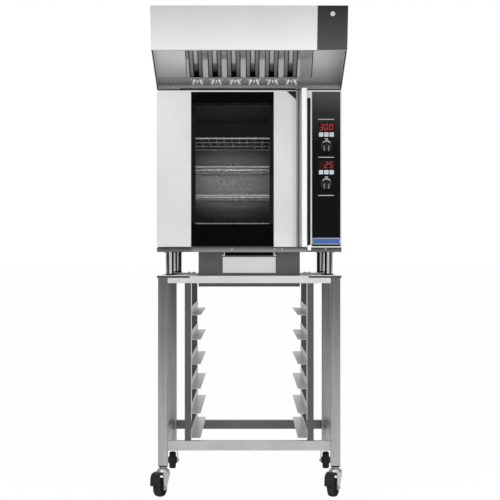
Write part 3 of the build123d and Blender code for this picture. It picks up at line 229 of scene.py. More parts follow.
class Finish(Graph):
    """A material around one Principled shader, with helpers for what repeats in this object's finishes."""

    def __init__(self, name, tone, metallic, roughness, **constants):
        self.material = bpy.data.materials.new(name)
        self.material.use_nodes = True
        super().__init__(self.material.node_tree)
        self.shader = self.tree.nodes["Principled BSDF"]
        self.place = self.add("ShaderNodeTexCoord", output="Object")
        split = self.tree.nodes.new("ShaderNodeSeparateXYZ")
        self.feed(split.inputs[0], self.place)
        self.x, self.y, self.z = (Wire(self, socket) for socket in split.outputs)
        self.paint(base_color=colour(tone), metallic=metallic, roughness=roughness, **constants)

    def paint(self, **sockets):
        """Sets the shader's sockets by their names in lower case with underscores."""
        names = {name.lower().replace(" ", "_"): name for name in self.shader.inputs.keys()}
        for key, value in sockets.items():
            self.feed(self.shader.inputs[names[key]], value)

    def noise(self, scale, detail=3.0, roughness=0.55, stretch=None):
        """Noise from 0 to 1 with features about 1 / scale metres across, of a point scaled by stretch."""
        point = self.place
        if stretch:
            point = self.add("ShaderNodeVectorMath", {"operation": "MULTIPLY"}, {0: self.place, 1: stretch})
        inputs = {"Vector": point, "Scale": scale, "Detail": detail, "Roughness": roughness}
        return self.add("ShaderNodeTexNoise", None, inputs, "Fac")

    def cells(self, scale, feature="F1", output="Distance"):
        """A Voronoi pattern."""
        inputs = {"Vector": self.place, "Scale": scale}
        return self.add("ShaderNodeTexVoronoi", {"feature": feature}, inputs, output)

    def mix(self, share, first, second):
        """The tone first where share is 0 and second where it is 1."""
        settings = {"data_type": "RGBA", "clamp_factor": True}
        return self.add("ShaderNodeMix", settings, {0: share, 6: colour(first), 7: colour(second)}, 2)

    def tint(self, share, first, second):
        """Paints the base colour first where share is 0 and second where it is 1."""
        self.paint(base_color=self.mix(share, first, second))

    def ramp(self, value, *stops):
        """A colour ramp over value."""
        return self.add("ShaderNodeValToRGB", {"stops": stops}, {0: value}, "Color")

    def bump(self, height, distance, strength=1.0, edge=0.0):
        """Feeds the shader's normal with a height in metres at strength 1, over edges of radius edge."""
        inputs = {"Height": height, "Distance": distance, "Strength": strength}
        if edge:
            inputs["Normal"] = self.add("ShaderNodeBevel", {"samples": 4}, {"Radius": edge})
        self.paint(normal=self.add("ShaderNodeBump", None, inputs))


# Name: light tone, dark tone, roughness, axis of the grain and metallic value.
PLAIN_STEELS = {
    "door_steel": (231, 209, 0.36, "Z", 0.85),
    "hood_steel": (228, 205, 0.38, "X", 0.85),
    "casing_steel": ((205, 206, 209), (176, 177, 181), 0.36, "Y", 0.85),
    "rail_dark_steel": (150, 122, 0.45, "X", 0.3),
    "rail_steel": ((218, 217, 216), (186, 185, 184), 0.38, "X", 0.75),
    # Painted shade: the posts' tones are a darker copy of the stand's steel, for the shade under the oven.
    "post_steel": (98, 58, 0.4, "Z", 0.7),
    "runner_steel": ((214, 214, 215), (176, 176, 178), 0.36, "Y", 0.7),
    "dark_steel": ((150, 151, 155), (104, 105, 110), 0.42, "X", 0.8),
    "drawer_steel": (224, 200, 0.36, "X", 0.85),
    # Painted light: the fan is near white and hardly metallic, in place of light that doesn't reach it behind
    # the baffle.
    "fan_steel": (252, 236, 0.55, "X", 0.05),
}

# Name: noise of the tone, dark and light tone, metallic and specular value, gain and base of the roughness,
# and noise, depth in mm, strength and edge in mm of the relief.
MOTTLED = {
    "screw_steel": ((260.0, 3.0), (138, 140, 144), (206, 207, 210), 0.85, 0.5, (0.25, 0.15),
                    ((260.0, 3.0), 0.05, 0.3, 0.0)),
    "polished_steel": ((80.0, 3.0), 240, 254, 0.1, 0.5, (0.14, 0.08), ((80.0, 3.0), 0.1, 0.3, 0.6)),
    "trim_silver": ((300.0, 2.0), 138, 172, 0.2, 0.5, (0.2, 0.3), None),
    "mark_ink": ((400.0, 2.0), 40, 66, 0.0, 0.2, (0.0, 0.5), None),
    "plate_blue": ((60.0, 3.0), (34, 66, 122), (48, 84, 144), 0.0, 0.3, (0.15, 0.24), None),
    "chrome": ((30.0, 3.0), (206, 207, 211), (240, 241, 243), 1.0, 0.5, (0.14, 0.02),
               ((900.0, 2.0), 0.02, 0.2, 0.5)),
    "matt_black": ((60.0, 4.0), 14, 34, 0.0, 0.3, (0.25, 0.45), ((1500.0, 2.0), 0.08, 0.5, 0.7)),
    "key_plastic": ((120.0, 3.0), (158, 166, 174), (188, 194, 200), 0.0, 0.4, (0.2, 0.3),
                    ((1600.0, 2.0), 0.04, 0.4, 0.6)),
    "display_glass": ((60.0, 3.0), (16, 4, 5), (34, 7, 9), 0.0, 0.15, (0.1, 0.08), None),
    "cast_aluminium": ((50.0, 5.0), (160, 161, 165), (206, 207, 209), 0.85, 0.5, (0.25, 0.3),
                       ((900.0, 3.0), 0.2, 0.4, 0.8)),
}


def brushed(name, tone, roughness, grain, metallic=0.85):
    """Sheet steel of one tone with a grain drawn along one axis, faint smudges and softened edges."""
    finish = Finish(name, tone, metallic, roughness)
    along, across = 14.0, 1500.0
    stretch = tuple(along if letter == grain else across for letter in "XYZ")
    finish.lines = finish.noise(1.0, 4.0, 0.6, stretch)
    finish.smudge = finish.noise(5.5, 4.0, 0.6)
    finish.paint(roughness=(finish.lines * 0.16 + finish.smudge * 0.14 + (roughness - 0.15)).clamped())
    finish.bump(finish.lines, 0.06 * MM, 0.35, 0.8 * MM)
    return finish


def plain_steel(name):
    """Brushed steel between the two tones of its row."""
    light, dark, roughness, grain, metallic = PLAIN_STEELS[name]
    finish = brushed(name, light, roughness, grain, metallic)
    blotch = finish.noise(1.6, 2.0, 0.5)
    tone = (finish.lines - 0.5) * 0.55 + (finish.smudge - 0.5) * 0.5 + (blotch - 0.5) * 0.5 + 0.55
    finish.tint(tone.clamped(), dark, light)
    return finish.material


def mottled(name):
    """A finish whose tone, roughness and relief follow the noise of its row."""
    patch, dark, light, metallic, specular, (gain, base), relief = MOTTLED[name]
    finish = Finish(name, light, metallic, base, specular_ior_level=specular)
    cloud = finish.noise(*patch)
    finish.tint(cloud, dark, light)
    finish.paint(roughness=cloud * gain + base)
    if relief:
        grain, depth, strength, edge = relief
        finish.bump(finish.noise(*grain), depth * MM, strength, edge * MM)
    return finish.material


def handle_steel():
    """The handle's steel, with painted shade down the fold of its flange against the door and a painted
    highlight on the flank beside it.
    """
    finish = brushed("handle_steel", 244, 0.36, "Z")
    low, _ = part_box("door_handle")
    flange_end = low.x + 16.2 * MM
    flange = 1.0 - finish.x.ramp_up(flange_end, flange_end + 0.2 * MM)
    flange = flange * finish.y.ramp_up(DOOR_FACE - 13.5 * MM, DOOR_FACE - 12.5 * MM)
    # Painted shade across the concave fold, then a painted highlight on the flank.
    fold = finish.ramp(finish.x.ramp_up(low.x, low.x + 16 * MM), (0.0, 176), (0.35, 132), (0.64, 78),
                       (0.72, 66), (0.8, 244), (1.0, 248))
    finish.tint(flange, finish.mix(finish.noise(5.5, 4.0), 242, 254), fold)
    return finish.material


def shell_steel():
    """The door's steel, with painted shade: black inside the hollow that shows through the outer pane, dark
    grey where the corner notch by the handle opens into it, and darker on the skin beside the handle.
    """
    finish = brushed("shell_steel", 231, 0.36, "Z")
    low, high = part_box("door_shell")
    half_hollow, bright_from = 0.275, 0.105
    inside = finish.y.between(low.y + 6.0 * MM, high.y - 1.4 * MM, 0.2 * MM)
    inside = inside * (1.0 - abs(finish.x - (low.x + high.x) / 2).ramp_up(half_hollow, half_hollow + 1 * MM))
    # Painted shade on the skin beside the handle.
    shade = finish.x.ramp_up(high.x - 36 * MM, high.x - 12 * MM) * 0.7
    skin = finish.mix(shade, finish.mix(finish.noise(5.5, 4.0), 206, 230), 186)
    # Painted shade inside the hollow: black, and dark grey towards the handle.
    hollow = finish.mix(finish.x.ramp_up(bright_from, bright_from + 1 * MM), 6, 58)
    finish.tint(inside, skin, hollow)
    finish.paint(metallic=0.85 - inside * 0.8)
    return finish.material


def hood_front_steel():
    """The leaning front, with painted light that makes it a little paler towards its lower fold."""
    low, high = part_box("hood_front_panel")
    finish = brushed("hood_front_steel", (232, 232, 234), 0.4, "X")
    # Painted light: the tone grows paler towards the bottom.
    drop = 1.0 - finish.z.ramp_up(low.z, high.z)
    tone = drop * 0.7 + finish.noise(3.0, 3.0) * 0.4
    finish.tint(tone.clamped(), 190, 238)
    return finish.material


def hood_inner_steel():
    """Dull sheet inside the hood, lit by the room rather than mirroring it, with painted shade that makes it
    darkest at the gutter and painted light that makes its left side paler than its right.
    """
    finish = brushed("hood_inner_steel", (196, 198, 202), 0.5, "X", 0.25)
    low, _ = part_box("hood_liner")
    above = finish.z.ramp_up(low.z + 20 * MM, low.z + 22 * MM)
    cloud = finish.noise(6.0, 4.0)
    # Painted light: the left side gets paler tones than the right.
    left, right = finish.mix(cloud, 192, 210), finish.mix(cloud, 176, 196)
    # Painted shade on the low band along the gutter.
    finish.tint(above, 110, finish.mix(finish.x.ramp_up(-0.1, 0.1), left, right))
    return finish.material


def filter_depth(finish):
    """How far a point lies behind the filter's front sheet, and how far up the slope from 0 to 1."""
    low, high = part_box("grease_filter")
    slope = bpy.context.scene.oven_looks.filter_slope
    ny, nz = -math.sin(slope), -math.cos(slope)
    front = max(v.co.y * ny + v.co.z * nz for v in frame["nodes"]["grease_filter"].data.vertices)
    behind = front - (finish.y * ny + finish.z * nz)
    return behind, finish.z.ramp_up(low.z + 12 * MM, high.z - 12 * MM)


def filter_steel():
    """Slotted sheet with darker patches over the upper part of its slope. Painted shade darkens its deep
    channels towards their lower end and draws dark lines at their folds and edges, and painted light keeps the
    bars paler towards the lower end.
    """
    finish = brushed("filter_steel", (186, 186, 187), 0.36, "Y", 0.2)
    low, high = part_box("grease_filter")
    looks = bpy.context.scene.oven_looks
    behind, up = filter_depth(finish)
    cloud = finish.noise(22.0, 4.0)
    patch_noise = finish.noise(38.0, 3.0)

    # Darker patches over the upper part of the slope.
    upper_dark_patches = (up.ramp_up(0.55, 0.6) * (patch_noise.ramp_up(0.35, 0.6) * 0.5 + 0.5)).clamped()
    blank = finish.x.ramp_up(high.x - 52 * MM, high.x - 46 * MM)
    # Painted light on the bars, paler towards the lower end.
    bar = finish.ramp(up, (0.0, 226), (0.14, 214), (0.4, 188), (0.55, 172))
    front = finish.mix(upper_dark_patches, bar, finish.mix(patch_noise.ramp_up(0.42, 0.52), 24, 128))
    front = finish.mix(blank * 0.75, front, finish.mix(cloud, (116, 114, 112), (158, 156, 154)))

    first_slot = low.x + looks.filter_frame + looks.slot_width / 2
    aside = (finish.x - first_slot).maths("PINGPONG", looks.slot_pitch / 2)
    height = up + cloud * 0.1 - 0.05
    # Painted shade in the channels: the sides and the core darken towards the lower end, the core to black.
    sides = finish.ramp(height, (0.0, 70), (0.12, 140), (0.4, 142), (1.0, 136))
    painted_core_shade = finish.ramp(height, (0.0, 5), (0.26, 8), (0.4, 70), (1.0, 90))
    outside_core = aside.ramp_up(10.8 * MM, 11.6 * MM)
    # Painted shade: dark lines along the folds and the slot edges.
    line = aside.ramp_up(7.8 * MM, 8.2 * MM) * (1.0 - outside_core)
    edge = aside.ramp_up(23.0 * MM, 24.5 * MM)
    channel = finish.mix(outside_core, painted_core_shade, sides)
    channel = finish.mix((line + edge).clamped() * 0.85, channel, 14)

    deep = behind.ramp_up(3 * MM, 6 * MM)
    rim = abs(finish.x).ramp_up(high.x - 3 * MM, high.x - 2.5 * MM)
    finish.tint(rim, finish.mix(deep, front, channel), 16)
    return finish.material


def strip_steel():
    """The raised strip in the middle of each channel, pale above and black with shadow below."""
    finish = brushed("strip_steel", (180, 180, 181), 0.4, "Y", 0.3)
    _, up = filter_depth(finish)
    height = up + finish.noise(40.0, 3.0) * 0.06 - 0.03
    finish.paint(base_color=finish.ramp(height, (0.24, 8), (0.3, 70), (0.47, 112), (0.5, 172), (1.0, 180)))
    return finish.material


def leg_steel():
    """Square tube drawn along its length, with painted light that makes it brighter towards the floor and
    painted shade that darkens it under the oven.
    """
    finish = brushed("leg_steel", 168, 0.36, "Z", 0.75)
    streak = finish.noise(1.0, 3.0, 0.6, (60.0, 60.0, 2.2))
    low = 1.0 - finish.z.ramp_up(0.12, 0.62)
    # Painted light near the floor and painted shade near the top, under the oven.
    tone = (streak - 0.5) * 0.6 + low * 0.5 + 0.35 - finish.z.ramp_up(0.55, 0.88) * 0.35
    finish.tint(tone.clamped(), 96, 176)
    return finish.material


def plate_steel():
    """Corner plates with painted light on top and painted shade on the front lip."""
    finish = brushed("plate_steel", 206, 0.38, "X", 0.0)
    _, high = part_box("stand_corner_plates")
    lip = 1.0 - finish.z.ramp_up(high.z - 1.2 * MM, high.z - 0.6 * MM)
    # Painted light on the top, painted shade on the front lip.
    finish.tint(lip, 252, 50)
    return finish.material


def low_rail_steel():
    """The bottom rails, with painted shade at the rear, where the runners shade them."""
    finish = brushed("low_rail_steel", (190, 189, 188), 0.38, "X", 0.75)
    cloud = finish.noise(7.0, 4.0)
    rear = finish.y.ramp_up(0.1, 0.3)
    # Painted shade: darker tones at the rear.
    finish.tint(rear, finish.mix(cloud, 156, 190), finish.mix(cloud, 84, 116))
    return finish.material


def pan_steel():
    """Dull steel tray, with painted shade along its upper edge under the door, and darker towards its ends."""
    finish = brushed("pan_steel", 122, 0.42, "X", 0.6)
    _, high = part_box("base_pan")
    ends = abs(finish.x).ramp_up(0.222, 0.236)
    cloud = abs(finish.noise(12.0, 4.0) * 0.5 - 0.25)
    # Painted shade along the upper edge.
    upper = finish.z.ramp_up(high.z - 10 * MM, high.z - 7 * MM)
    tone = finish.mix(upper, finish.mix(ends, 122, 84), finish.mix(ends, 92, 56))
    finish.tint(cloud, tone, 140)
    return finish.material


def rack_wire():
    """Plated wire, satin rather than mirror bright, with painted light on the front wires and painted shade
    towards the back of the oven.
    """
    finish = Finish("rack_wire", 244, 0.3, 0.26)
    low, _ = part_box("wire_rack_1")
    smudge = finish.noise(24.0, 3.0)
    # Painted light at the front, painted shade towards the back.
    painted_shade_towards_back = finish.y.ramp_up(low.y + 9 * MM, low.y + 30 * MM)
    finish.tint(painted_shade_towards_back, finish.mix(smudge, 246, 254), finish.mix(smudge, 146, 194))
    finish.paint(roughness=smudge * 0.16 + 0.18)
    finish.bump(finish.noise(700.0, 2.0), 0.03 * MM, 0.3)
    return finish.material


def foot_chrome():
    """Chromed tube feet with painted bands of reflection, each with a black rubber ring where it stands."""
    finish = Finish("foot_chrome", (228, 229, 232), 1.0, 0.08)
    low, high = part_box("oven_feet")
    foot_radius = 17 * MM
    metal = finish.z.ramp_up(low.z + 6.8 * MM, low.z + 7.1 * MM)
    smudge = finish.noise(30.0, 3.0)
    across = (abs(finish.x) - (high.x - foot_radius)) / (2 * foot_radius) + 0.5
    bands = finish.ramp(across.clamped(), (0.0, 14), (0.1, 20), (0.16, 236), (0.38, 206), (0.44, 46),
                        (0.62, 30), (0.68, 240), (0.86, 214), (0.92, 22))
    finish.tint(metal, 12, finish.mix(smudge * 0.3, bands, 128))
    finish.paint(metallic=metal, roughness=smudge * 0.12 + 0.62 - metal * 0.6)
    finish.bump(finish.noise(900.0, 2.0), 0.02 * MM, 0.2, 0.5 * MM)
    return finish.material


def stem_plate():
    """Zinc plated stems under the black plugs in the ends of the legs."""
    finish = Finish("stem_plate", (196, 198, 200), 0.85, 0.25)
    plug_bottom = 0.1135
    plug = finish.z.ramp_up(plug_bottom, plug_bottom + 1 * MM)
    patch = finish.noise(60.0, 3.0)
    finish.tint(plug, finish.mix(patch, (170, 172, 175), (222, 223, 224)), 18)
    finish.paint(metallic=0.85 - plug * 0.85, roughness=patch * 0.2 + plug * 0.3 + 0.15)
    return finish.material


def zinc_plate():
    """Pressed steel with a bright, faintly mottled zinc coat."""
    finish = Finish("zinc_plate", (205, 207, 208), 0.9, 0.25)
    spangle = finish.cells(260.0, output="Color")
    patch = finish.noise(45.0, 4.0)
    tone = finish.mix(patch, (176, 179, 182), (226, 227, 227))
    blend = {"data_type": "RGBA", "blend_type": "SOFT_LIGHT"}
    finish.paint(base_color=finish.add("ShaderNodeMix", blend, {0: 0.12, 6: tone, 7: spangle}, 2))
    finish.paint(roughness=patch * 0.25 + 0.12)
    finish.bump(patch, 0.15 * MM, 0.35, 0.7 * MM)
    return finish.material


def rubber(name, light, dark):
    """Moulded rubber with a fine tooth, dust and scuffs."""
    finish = Finish(name, light, 0.0, 0.7, specular_ior_level=0.25)
    dust = finish.noise(38.0, 5.0, 0.6)
    finish.tint((dust * 1.6 - 0.3).clamped(), dark, light)
    finish.paint(roughness=dust * 0.2 + 0.6)
    finish.bump(finish.noise(1800.0, 2.0), 0.12 * MM, 0.5, 0.6 * MM)
    return finish.material


def grey_rubber():
    return rubber("grey_rubber", (40, 40, 41), (20, 20, 21))


def black_rubber():
    return rubber("black_rubber", (38, 38, 39), (18, 18, 19))


def fascia_black():
    """Gloss black glass, with a painted sheen that makes it paler towards its top."""
    finish = Finish("fascia_black", 20, 0.0, 0.12, specular_ior_level=0.04)
    low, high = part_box("control_fascia")
    haze = finish.noise(7.0, 4.0, 0.6)
    up = finish.z.ramp_up(low.z, high.z) + haze * 0.06 - 0.03
    # Painted sheen: the tone rises towards the top.
    finish.paint(base_color=finish.ramp(up, (0.0, 9), (0.66, 13), (0.86, 38), (1.0, 66)))
    finish.paint(roughness=haze * 0.12 + 0.06)
    return finish.material


def knob_black():
    """Gloss black moulding with a painted curved highlight and painted upright streaks, the same on both knobs.
    """
    finish = Finish("knob_black", 22, 0.0, 0.1, specular_ior_level=0.25, coat_weight=0.12)
    low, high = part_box("knob_upper")
    low_middle = (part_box("knob_lower")[0].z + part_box("knob_lower")[1].z) / 2
    pitch = (low.z + high.z) / 2 - low_middle
    x = abs(finish.x - (low.x + high.x) / 2)
    z = finish.z - low_middle + pitch / 2
    z = z - (z / pitch).maths("FLOOR") * pitch - pitch / 2
    reach = (x * x + z * z).maths("SQRT")
    # Painted highlights: an arc over the top of each knob and upright streaks beside the grip.
    arc = reach.between(15 * MM, 19 * MM, 2 * MM) * (z - x * 0.7).ramp_up(0.0, 3 * MM)
    streak = x.between(6 * MM, 10 * MM, 2 * MM) * (1.0 - z.ramp_up(-4 * MM, 2 * MM))
    haze = finish.noise(70.0, 3.0)
    painted_highlight = (arc * 0.62 + streak * 0.32) * (haze * 0.6 + 0.6)
    finish.tint(painted_highlight.clamped(), 14, 214)
    finish.paint(roughness=haze * 0.1 + 0.06)
    return finish.material


def hood_paint():
    """Dark satin paint with a slight orange peel, and painted light that makes it paler towards its lower edge.
    """
    finish = Finish("hood_paint", 50, 0.0, 0.42, specular_ior_level=0.12)
    low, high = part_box("hood_fascia")
    cloud = finish.noise(4.0, 3.0)
    drop = 1.0 - finish.z.ramp_up(low.z, high.z)
    # Painted light: the tone grows paler towards the bottom.
    finish.tint((drop + cloud * 0.2 - 0.1).clamped(), 30, 60)
    finish.paint(roughness=cloud * 0.1 + 0.38)
    finish.bump(finish.noise(700.0, 2.0), 0.03 * MM, 0.3, 0.6 * MM)
    return finish.material


def housing_paint():
    """Dull dark grey steel of the drip unit's housing, with painted shade that blacks it out inside its finger
    slot.
    """
    finish = brushed("housing_steel", (108, 108, 109), 0.5, "X", 0.5)
    _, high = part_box("drip_housing")
    # Painted shade: black inside the finger slot.
    slot = 1.0 - abs(finish.x).ramp_up(98.5 * MM, 99.5 * MM)
    slot = slot * finish.z.between(high.z - 14.5 * MM, high.z - 2 * MM, 1 * MM)
    finish.tint(slot, finish.mix(finish.noise(9.0, 4.0), 60, 88), 6)
    finish.paint(metallic=0.5 - slot * 0.5)
    return finish.material


def enamel():
    """Dark oven enamel with pale flecks."""
    finish = Finish("enamel", 56, 0.0, 0.3, specular_ior_level=0.4)
    fleck = 1.0 - finish.cells(420.0).ramp_up(0.1, 0.22)
    cloud = finish.noise(9.0, 3.0)
    finish.tint(fleck * 0.12, finish.mix(cloud, 28, 46), 140)
    finish.paint(roughness=cloud * 0.2 + 0.25)
    finish.bump(finish.noise(300.0, 3.0), 0.05 * MM, 0.4, 0.8 * MM)
    return finish.material


def baffle_enamel():
    """Oven enamel with a painted pool of lamp light round the fan's outlet, and faint drawn streaks."""
    low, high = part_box("fan_baffle")
    finish = Finish("baffle_enamel", 56, 0.0, 0.3, specular_ior_level=0.3)
    glow_width, glow_height, glow_drop = 0.34, 0.19, 4 * MM
    across = (finish.x - (low.x + high.x) / 2) / glow_width
    up = (finish.z - (low.z + high.z) / 2 + glow_drop) / glow_height
    # Painted light: a pool of lamp light round the fan's outlet.
    painted_light_pool = (1.0 - (across * across + up * up)).clamped()
    streak = finish.noise(1.0, 4.0, 0.6, (9.0, 9.0, 260.0))
    tone = painted_light_pool * painted_light_pool * (streak * 0.9 + 0.55)
    finish.tint(tone.clamped(), finish.mix(streak, 24, 44), 190)
    finish.paint(roughness=streak * 0.2 + 0.25)
    finish.bump(finish.noise(300.0, 3.0), 0.05 * MM, 0.4, 0.8 * MM)
    return finish.material


def door_glass():
    """Dark glass, with opaque printed bands along the top and the bottom."""
    low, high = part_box("door_outer_glass")
    finish = Finish("door_glass", 10, 0.0, 0.04, specular_ior_level=0.02)
    top, bottom, soft = 44 * MM, 84 * MM, 0.4 * MM
    inside = finish.z.between(low.z + bottom, high.z - top - soft, soft)
    finish.tint(inside, 4, 12)
    finish.paint(alpha=1.0 - inside * 0.84, roughness=finish.noise(6.0, 3.0) * 0.05 + 0.02)
    return finish.material


def clear_glass():
    """The inner pane, all but invisible."""
    finish = Finish("clear_glass", 60, 0.0, 0.03, specular_ior_level=0.02)
    haze = finish.noise(9.0, 3.0)
    finish.paint(alpha=haze * 0.04 + 0.06, roughness=haze * 0.06 + 0.02)
    return finish.material


def lit_red():
    """Glowing display segments with a faint grain."""
    finish = Finish("lit_red", (46, 10, 8), 0.0, 0.4, emission_strength=1.0, specular_ior_level=0.1)
    finish.paint(emission_color=finish.mix(finish.noise(500.0, 2.0), (172, 44, 38), (214, 80, 66)))
    return finish.material


def circuit_board():
    """Green board with paler tracks."""
    finish = Finish("circuit_board", (30, 92, 52), 0.0, 0.45)
    line = 1.0 - finish.cells(160.0, "DISTANCE_TO_EDGE").ramp_up(0.03, 0.06)
    finish.tint(line, (26, 84, 48), (58, 130, 76))
    finish.paint(roughness=line * 0.2 + 0.35)
    return finish.material


# Both tables name a maker's function, or a row of PLAIN_STEELS or MOTTLED.
SLOT_FINISHES = {
    "stainless": "casing_steel", "stainless_dark": "dark_steel", "chrome": "chrome", "zinc": zinc_plate,
    "grey_rubber": grey_rubber, "black_rubber": black_rubber, "black_gloss": fascia_black,
    "black_matte": "matt_black", "key_grey": "key_plastic", "dark_paint": hood_paint, "enamel": enamel,
    "dark_glass": door_glass, "clear_glass": clear_glass, "display_red": "display_glass",
    "board_green": circuit_board, "aluminium": "cast_aluminium",
}
NODE_FINISHES = {
    "stand_legs": leg_steel, "stand_top_rails": "rail_steel", "stand_corner_plates": plate_steel,
    "stand_bottom_rails": low_rail_steel, "runner_posts": "post_steel", "tray_runners": "runner_steel",
    "caster_stems": stem_plate, "oven_feet": foot_chrome, "base_pan": pan_steel, "door_shell": shell_steel,
    "door_handle": handle_steel, "control_bezel": "door_steel", "knob_upper": knob_black,
    "knob_lower": knob_black, "hood_shell": "hood_steel", "hood_front_panel": hood_front_steel,
    "hood_liner": hood_inner_steel, "grease_filter": filter_steel, "drip_housing": housing_paint,
    "drip_drawer": "drawer_steel", "fan_baffle": baffle_enamel, "circulation_fan": "fan_steel",
    "wire_rack_1": rack_wire, "wire_rack_2": rack_wire, "wire_rack_3": rack_wire, "wire_rack_4": rack_wire,
}
made_finishes = {}


def finish_of(maker):
    """The material of a maker, or of the row of a table with this name, made once."""
    if maker not in made_finishes:
        if callable(maker):
            made_finishes[maker] = maker()
        else:
            made_finishes[maker] = plain_steel(maker) if maker in PLAIN_STEELS else mottled(maker)
    return made_finishes[maker]


def dress(piece, maker, body):
    """Gives a finished piece its material and its body."""
    piece.data.materials.clear()
    piece.data.materials.append(finish_of(maker))
    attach(piece, body)
    return piece


def trim(name, build, maker, body="oven_frame"):
    """A piece that build(shape) makes, dressed."""
    return dress(mesh_piece(name, build), maker, body)


def prism(name, outline, frame_at, depth, maker, body="oven_frame"):
    """A straight-sided piece, dressed."""
    return trim(name, lambda shape: add_prism(shape, outline, frame_at, depth), maker, body)


def mesh_piece(name, build):
    """An object whose mesh is made by build(bm), welded, with its faces outward."""
    shape = bmesh.new()
    build(shape)
    bmesh.ops.remove_doubles(shape, verts=shape.verts, dist=1e-6)
    bmesh.ops.recalc_face_normals(shape, faces=shape.faces)
    mesh = bpy.data.meshes.new(name)
    shape.to_mesh(mesh)
    shape.free()
    piece = bpy.data.objects.new(name, mesh)
    bpy.context.scene.collection.objects.link(piece)
    return piece


def join_rings(shape, rings):
    """Adds the faces between each closed ring of points and the next."""
    for first, second in zip(rings, rings[1:]):
        for i in range(len(first)):
            j = (i + 1) % len(first)
            shape.faces.new((first[i], first[j], second[j], second[i]))


def raised_rings(shape, frame_at, rings):
    """The points of several outlines, each at its own height in one local frame."""
    return [[shape.verts.new(frame_at @ Vector((x, y, height))) for x, y in outline]
            for outline, height in rings]


def add_prism(shape, outline, frame_at, depth):
    """Adds a straight-sided solid: outline points in a local XY plane, raised by depth along its Z."""
    low, high = raised_rings(shape, frame_at, ((outline, 0.0), (outline, depth)))
    shape.faces.new(list(reversed(low)))
    shape.faces.new(high)
    join_rings(shape, (low, high))


def circle(radius, steps):
    """Points round a circle, anticlockwise from its X axis."""
    angles = [2 * math.pi * step / steps for step in range(steps)]
    return [(radius * math.cos(angle), radius * math.sin(angle)) for angle in angles]


def add_ring(shape, inner, outer, steps, frame_at, depth):
    """Adds a flat ring out of one straight-sided solid for each step round it."""
    inside, outside = circle(inner, steps), circle(outer, steps)
    for i in range(steps):
        j = (i + 1) % steps
        add_prism(shape, (inside[i], outside[i], outside[j], inside[j]), frame_at, depth)


def add_lathe(shape, profile, steps, sunk=lambda ring, step: 0.0):
    """Adds a turned solid about Z from (radius, height) points; sunk gives the depth to sink a point by."""
    rings = []
    for ring, (radius, height) in enumerate(profile):
        points = circle(radius, steps) if radius else [(0.0, 0.0)]
        rings.append([shape.verts.new((x, y, height - sunk(ring, step))) for step, (x, y) in enumerate(points)])
    for first, second in zip(rings, rings[1:]):
        for step in range(steps):
            after = (step + 1) % steps
            corners = [first[step % len(first)], first[after % len(first)],
                       second[after % len(second)], second[step % len(second)]]
            shape.faces.new(list(dict.fromkeys(corners)))


def rounded_outline(width, height, radius, steps=5):
    """A rectangle with round corners about its middle, anticlockwise."""
    points = []
    for quarter in range(4):
        turn = math.radians(90 * quarter)
        cx = (width / 2 - radius) * (1 if quarter in (0, 3) else -1)
        cy = (height / 2 - radius) * (1 if quarter in (0, 1) else -1)
        for step in range(steps + 1):
            angle = turn + math.radians(90 * step / steps)
            points.append((cx + radius * math.cos(angle), cy + radius * math.sin(angle)))
    return points


def facing_front(x, y, z):
    """A local frame at the point whose X is the oven's X, whose Y is up and whose Z comes forward."""
    return Matrix.Translation((x, y, z)) @ Matrix.Rotation(math.radians(90), 4, "X")


def facing_right(x):
    """A local frame at x whose X is the oven's Y, whose Y is up and whose Z goes to the right."""
    return Matrix(((0, 0, 1, x), (1, 0, 0, 0), (0, 1, 0, 0), (0, 0, 0, 1)))


def metres(name, description, default):
    """A property in metres."""
    return bpy.props.FloatProperty(name=name, description=description, default=default, unit="LENGTH")


def degrees(name, description, default):
    """A property for an angle, given in degrees."""
    return bpy.props.FloatProperty(
        name=name, description=description, default=math.radians(default), subtype="ANGLE")


class OvenLooks(bpy.types.PropertyGroup):
    """Sizes, readings, and camera and light settings of what the scene adds."""

    digit_height: metres("Digit height", "Height of a display digit", 0.0250)
    digit_width: metres("Digit width", "Width of a display digit", 0.0130)
    digit_stroke: metres("Digit stroke", "Width of one lit segment", 0.0022)
    digit_pitch: metres("Digit pitch", "Distance between digits", 0.0190)
    digit_lean: degrees("Digit lean", "Slant of the digits", 8)
    upper_reading: bpy.props.StringProperty(
        name="Upper reading", description="Number on the upper display", default="300")
    lower_reading: bpy.props.StringProperty(
        name="Lower reading", description="Number on the lower display", default=" 25")
    rule_width: metres("Rule width", "Length of the pale rules on the fascia", 0.0635)
    rule_height: metres("Rule height", "Height of the pale rules on the fascia", 0.0029)
    screw_radius: metres("Screw radius", "Radius of a sheet screw's head", 0.0042)
    screw_height: metres("Screw height", "Height of a sheet screw's head", 0.0022)
    slot_pitch: metres("Slot pitch", "Distance between the filter's slots", 0.076)
    slot_width: metres("Slot width", "Width of a filter slot", 0.055)
    filter_frame: metres("Filter frame", "Width of the filter's side frame", 0.012)
    filter_slope: degrees("Filter slope", "Angle of the filter's sheet to the floor", 32.97)
    rail_y: metres("Filter rail place", "Front face of the filter's rail", -0.1445)
    rail_top: metres("Filter rail top", "Height of the filter rail's fold", 1.681)
    louvre_drop: metres("Louvre drop", "Middle of the rear louvres below the casing's top", 0.117)
    camera_height: metres("Camera height", "Height of the level camera", 0.981)
    camera_distance: metres("Camera distance", "Distance from the camera to the door's face", 5.058)
    camera_lens: bpy.props.FloatProperty(
        name="Lens", description="Focal length on a 36 mm sensor", default=91.5)
    camera_shift: bpy.props.FloatProperty(
        name="Shift", description="Sideways shift of the frame", default=0.0016)
    daylight: bpy.props.FloatProperty(
        name="Daylight", description="Strength of the all-round soft light", default=0.78, min=0.0)


class OVEN_OT_finishes(bpy.types.Operator):
    """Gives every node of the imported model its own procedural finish"""

    bl_idname = "oven.finishes"
    bl_label = "Finishes"

    def execute(self, context):
        for name, node in frame["nodes"].items():
            maker = NODE_FINISHES.get(name, SLOT_FINISHES[NODE_SLOTS[name]])
            node.data.materials.clear()
            node.data.materials.append(finish_of(maker))
        return {"FINISHED"}


